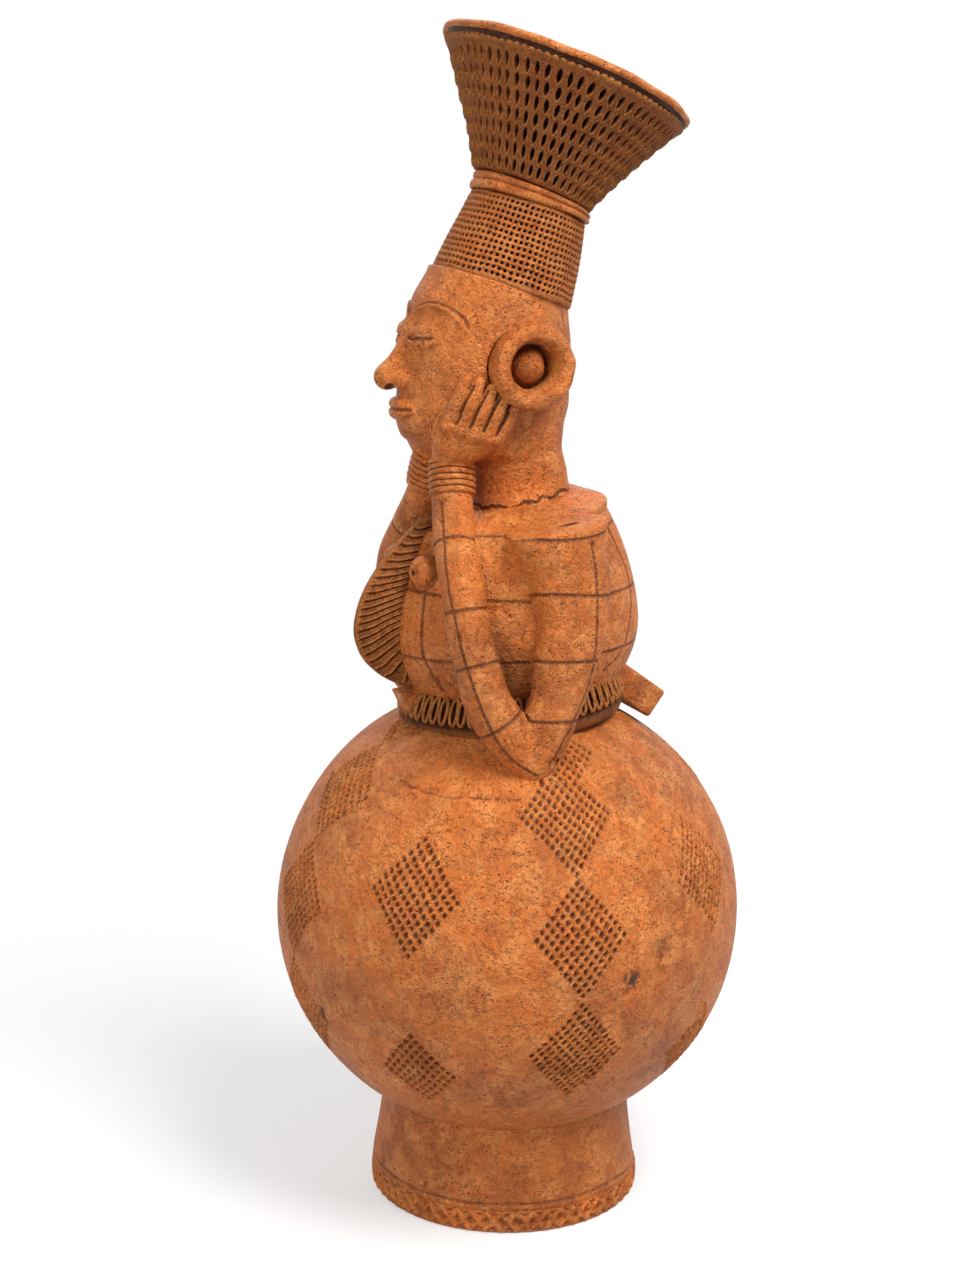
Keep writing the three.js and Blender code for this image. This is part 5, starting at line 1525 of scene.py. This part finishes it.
class VesselSizes(bpy.types.PropertyGroup):
    """Sizes and counts of the marks in the clay, and the light of the stage"""
    clay_step: bpy.props.FloatProperty(
        name="Clay step", description="Distance between the points in which the torso is worked",
        default=0.0004, min=0.0003, max=0.002, unit="LENGTH")
    line_width: bpy.props.FloatProperty(
        name="Line width", description="Width of the lines drawn on the torso and the arms",
        default=0.00105, min=0.0005, max=0.003, unit="LENGTH")
    dot_depth: bpy.props.FloatProperty(
        name="Dot depth", description="Depth of the dots pressed in the globe and the basket",
        default=0.001, min=0.0, max=0.003, unit="LENGTH")
    flare_depth: bpy.props.FloatProperty(
        name="Flare depth", description="Depth of the pointed marks in the flare",
        default=0.0026, min=0.0, max=0.005, unit="LENGTH")
    border_lozenges: bpy.props.IntProperty(
        name="Border lozenges", description="Lozenges cut round the foot", default=56, min=8, max=90)
    belt_loops: bpy.props.IntProperty(
        name="Belt loops", description="Loops of coil round the waist", default=62, min=8, max=120)
    panel_barbs: bpy.props.FloatProperty(
        name="Panel barbs", description="Barbs on each side of the chest panel", default=22, min=4, max=60)
    basket_rows: bpy.props.IntProperty(
        name="Basket rows", description="Rows of dots on the basket", default=13, min=2, max=30)
    basket_dots: bpy.props.IntProperty(
        name="Basket dots", description="Dots in each row of the basket", default=72, min=8, max=120)
    flare_rows: bpy.props.IntProperty(
        name="Flare rows", description="Rows of pointed marks on the flare", default=7, min=2, max=30)
    flare_marks: bpy.props.IntProperty(
        name="Flare marks", description="Pointed marks in each row of the flare", default=66, min=8, max=120)
    fill: bpy.props.FloatProperty(
        name="Fill light", description="Strength of the light from all round", default=0.28, min=0.0, max=2.0)


class VesselColours(bpy.types.PropertyGroup):
    """Colours of the fired clay, some of which also paint shade and highlight"""
    clay: bpy.props.FloatVectorProperty(
        name="Clay", description="Body of the fired clay", subtype="COLOR", default=linear("#CC6C26")[:3])
    # Pale clay also paints the wear and the highlights on edges
    pale_clay: bpy.props.FloatVectorProperty(
        name="Pale clay", description="Rubbed strokes and flecks", subtype="COLOR",
        default=linear("#E3944F")[:3])
    deep_clay: bpy.props.FloatVectorProperty(
        name="Deep clay", description="Smoke clouds", subtype="COLOR", default=linear("#8F4716")[:3])
    # The carved colour is partly a darker patina and partly painted shade of the carving
    carved: bpy.props.FloatVectorProperty(
        name="Carved clay", description="Darker slip on the carved pieces", subtype="COLOR",
        default=linear("#6E4226")[:3])
    # Grime paints old dirt in cuts and pits, and painted shade in the cuts
    grime_and_shade: bpy.props.FloatVectorProperty(
        name="Grime And Shade", description="Old dirt in cuts and pits", subtype="COLOR", default=linear("#4A2009")[:3])
    # Soot paints scorched spots, and painted shade at the bottoms of deep marks
    soot_and_deep_shade: bpy.props.FloatVectorProperty(
        name="Soot", description="Bottoms of deep marks, and scorched spots", subtype="COLOR",
        default=linear("#241008")[:3])


class MakeMaterials(bpy.types.Operator):
    """Make the three finishes of the clay and the two trees of marks"""
    bl_idname = "vessel.materials"
    bl_label = "Finishes"

    def execute(self, context):
        colours = context.scene.vessel_colours
        # The darker share of the punched and carved finishes is partly painted shade
        clay_material("Rubbed terracotta", colours, dark=0.0, gloss=0.55)
        clay_material("Punched terracotta", colours, dark=0.3, gloss=0.62)
        clay_material("Carved terracotta", colours, dark=0.7, gloss=0.66)
        pressed_marks_tree()
        belt_loops_tree()
        return {"FINISHED"}


class MakeGlobe(bpy.types.Operator):
    """Make the globe with its diamonds of pressed dots"""
    bl_idname = "vessel.globe"
    bl_label = "Globe"

    def execute(self, context):
        make_globe(context.scene.vessel_sizes)
        return {"FINISHED"}


class MakeFoot(bpy.types.Operator):
    """Make the foot ring and its chip-carved border"""
    bl_idname = "vessel.foot"
    bl_label = "Foot"

    def execute(self, context):
        make_foot(context.scene.vessel_sizes)
        return {"FINISHED"}


class MakeTorso(bpy.types.Operator):
    """Make the torso and both arms as one body of clay"""
    bl_idname = "vessel.torso"
    bl_label = "Torso and arms"

    def execute(self, context):
        make_torso(context.scene.vessel_sizes)
        return {"FINISHED"}


class MakeHead(bpy.types.Operator):
    """Make the neck and the head with a schematic face"""
    bl_idname = "vessel.head"
    bl_label = "Head"

    def execute(self, context):
        make_head(context.scene.vessel_sizes)
        return {"FINISHED"}


class MakeHands(bpy.types.Operator):
    """Make the hands on the cheeks and the bands of the wrists"""
    bl_idname = "vessel.hands"
    bl_label = "Hands and bracelets"

    def execute(self, context):
        make_hands(context.scene.vessel_sizes)
        return {"FINISHED"}


class MakeEars(bpy.types.Operator):
    """Make the ear spools with their domed plugs"""
    bl_idname = "vessel.ears"
    bl_label = "Ear spools"

    def execute(self, context):
        make_ears(context.scene.vessel_sizes)
        return {"FINISHED"}


class MakeNipples(bpy.types.Operator):
    """Make the two bosses of the chest"""
    bl_idname = "vessel.nipples"
    bl_label = "Chest bosses"

    def execute(self, context):
        make_nipples(context.scene.vessel_sizes)
        return {"FINISHED"}


class MakeBelt(bpy.types.Operator):
    """Make the waist coil and the loops wound on it"""
    bl_idname = "vessel.belt"
    bl_label = "Belt"

    def execute(self, context):
        make_belt(context.scene.vessel_sizes)
        return {"FINISHED"}


class MakeAprons(bpy.types.Operator):
    """Make the slab behind the belt and the tab in front of it"""
    bl_idname = "vessel.aprons"
    bl_label = "Aprons"

    def execute(self, context):
        make_aprons(context.scene.vessel_sizes)
        return {"FINISHED"}


class MakePanel(bpy.types.Operator):
    """Make the leaf-shaped chest panel with its barbs"""
    bl_idname = "vessel.panel"
    bl_label = "Chest panel"

    def execute(self, context):
        make_panel(context.scene.vessel_sizes)
        return {"FINISHED"}


class MakeHeaddress(bpy.types.Operator):
    """Make the basket, collar, flare and rim of the headdress"""
    bl_idname = "vessel.headdress"
    bl_label = "Headdress"

    def execute(self, context):
        make_headdress(context.scene.vessel_sizes)
        return {"FINISHED"}


class MakeStage(bpy.types.Operator):
    """Make the floor, the light and the camera"""
    bl_idname = "vessel.stage"
    bl_label = "Stage"

    def execute(self, context):
        make_stage(context.scene.vessel_sizes)
        return {"FINISHED"}


STEPS = (
    MakeMaterials, MakeGlobe, MakeFoot, MakeTorso, MakeHead, MakeHands, MakeEars, MakeNipples, MakeBelt,
    MakeAprons, MakePanel, MakeHeaddress, MakeStage,
)


class VesselPanel(bpy.types.Panel):
    """Lists the sizes, the colours and the steps of the vessel"""
    bl_idname = "VIEW3D_PT_vessel"
    bl_label = "Figural Pottery Vessel"
    bl_space_type = "VIEW_3D"
    bl_region_type = "UI"
    bl_category = "Vessel"

    def draw(self, context):
        for group in (context.scene.vessel_sizes, context.scene.vessel_colours):
            column = self.layout.column(align=True)
            for key in group.__annotations__:
                column.prop(group, key)
        for step in STEPS:
            self.layout.operator(step.bl_idname)


CLASSES = (VesselSizes, VesselColours, *STEPS, VesselPanel)


def register():
    for part in CLASSES:
        bpy.utils.register_class(part)
    bpy.types.Scene.vessel_sizes = bpy.props.PointerProperty(type=VesselSizes)
    bpy.types.Scene.vessel_colours = bpy.props.PointerProperty(type=VesselColours)


def unregister():
    del bpy.types.Scene.vessel_colours
    del bpy.types.Scene.vessel_sizes
    for part in reversed(CLASSES):
        bpy.utils.unregister_class(part)


def main():
    register()
    for step in STEPS:
        group, name = step.bl_idname.split(".")
        getattr(getattr(bpy.ops, group), name)()


if __name__ == "__main__":
    main()
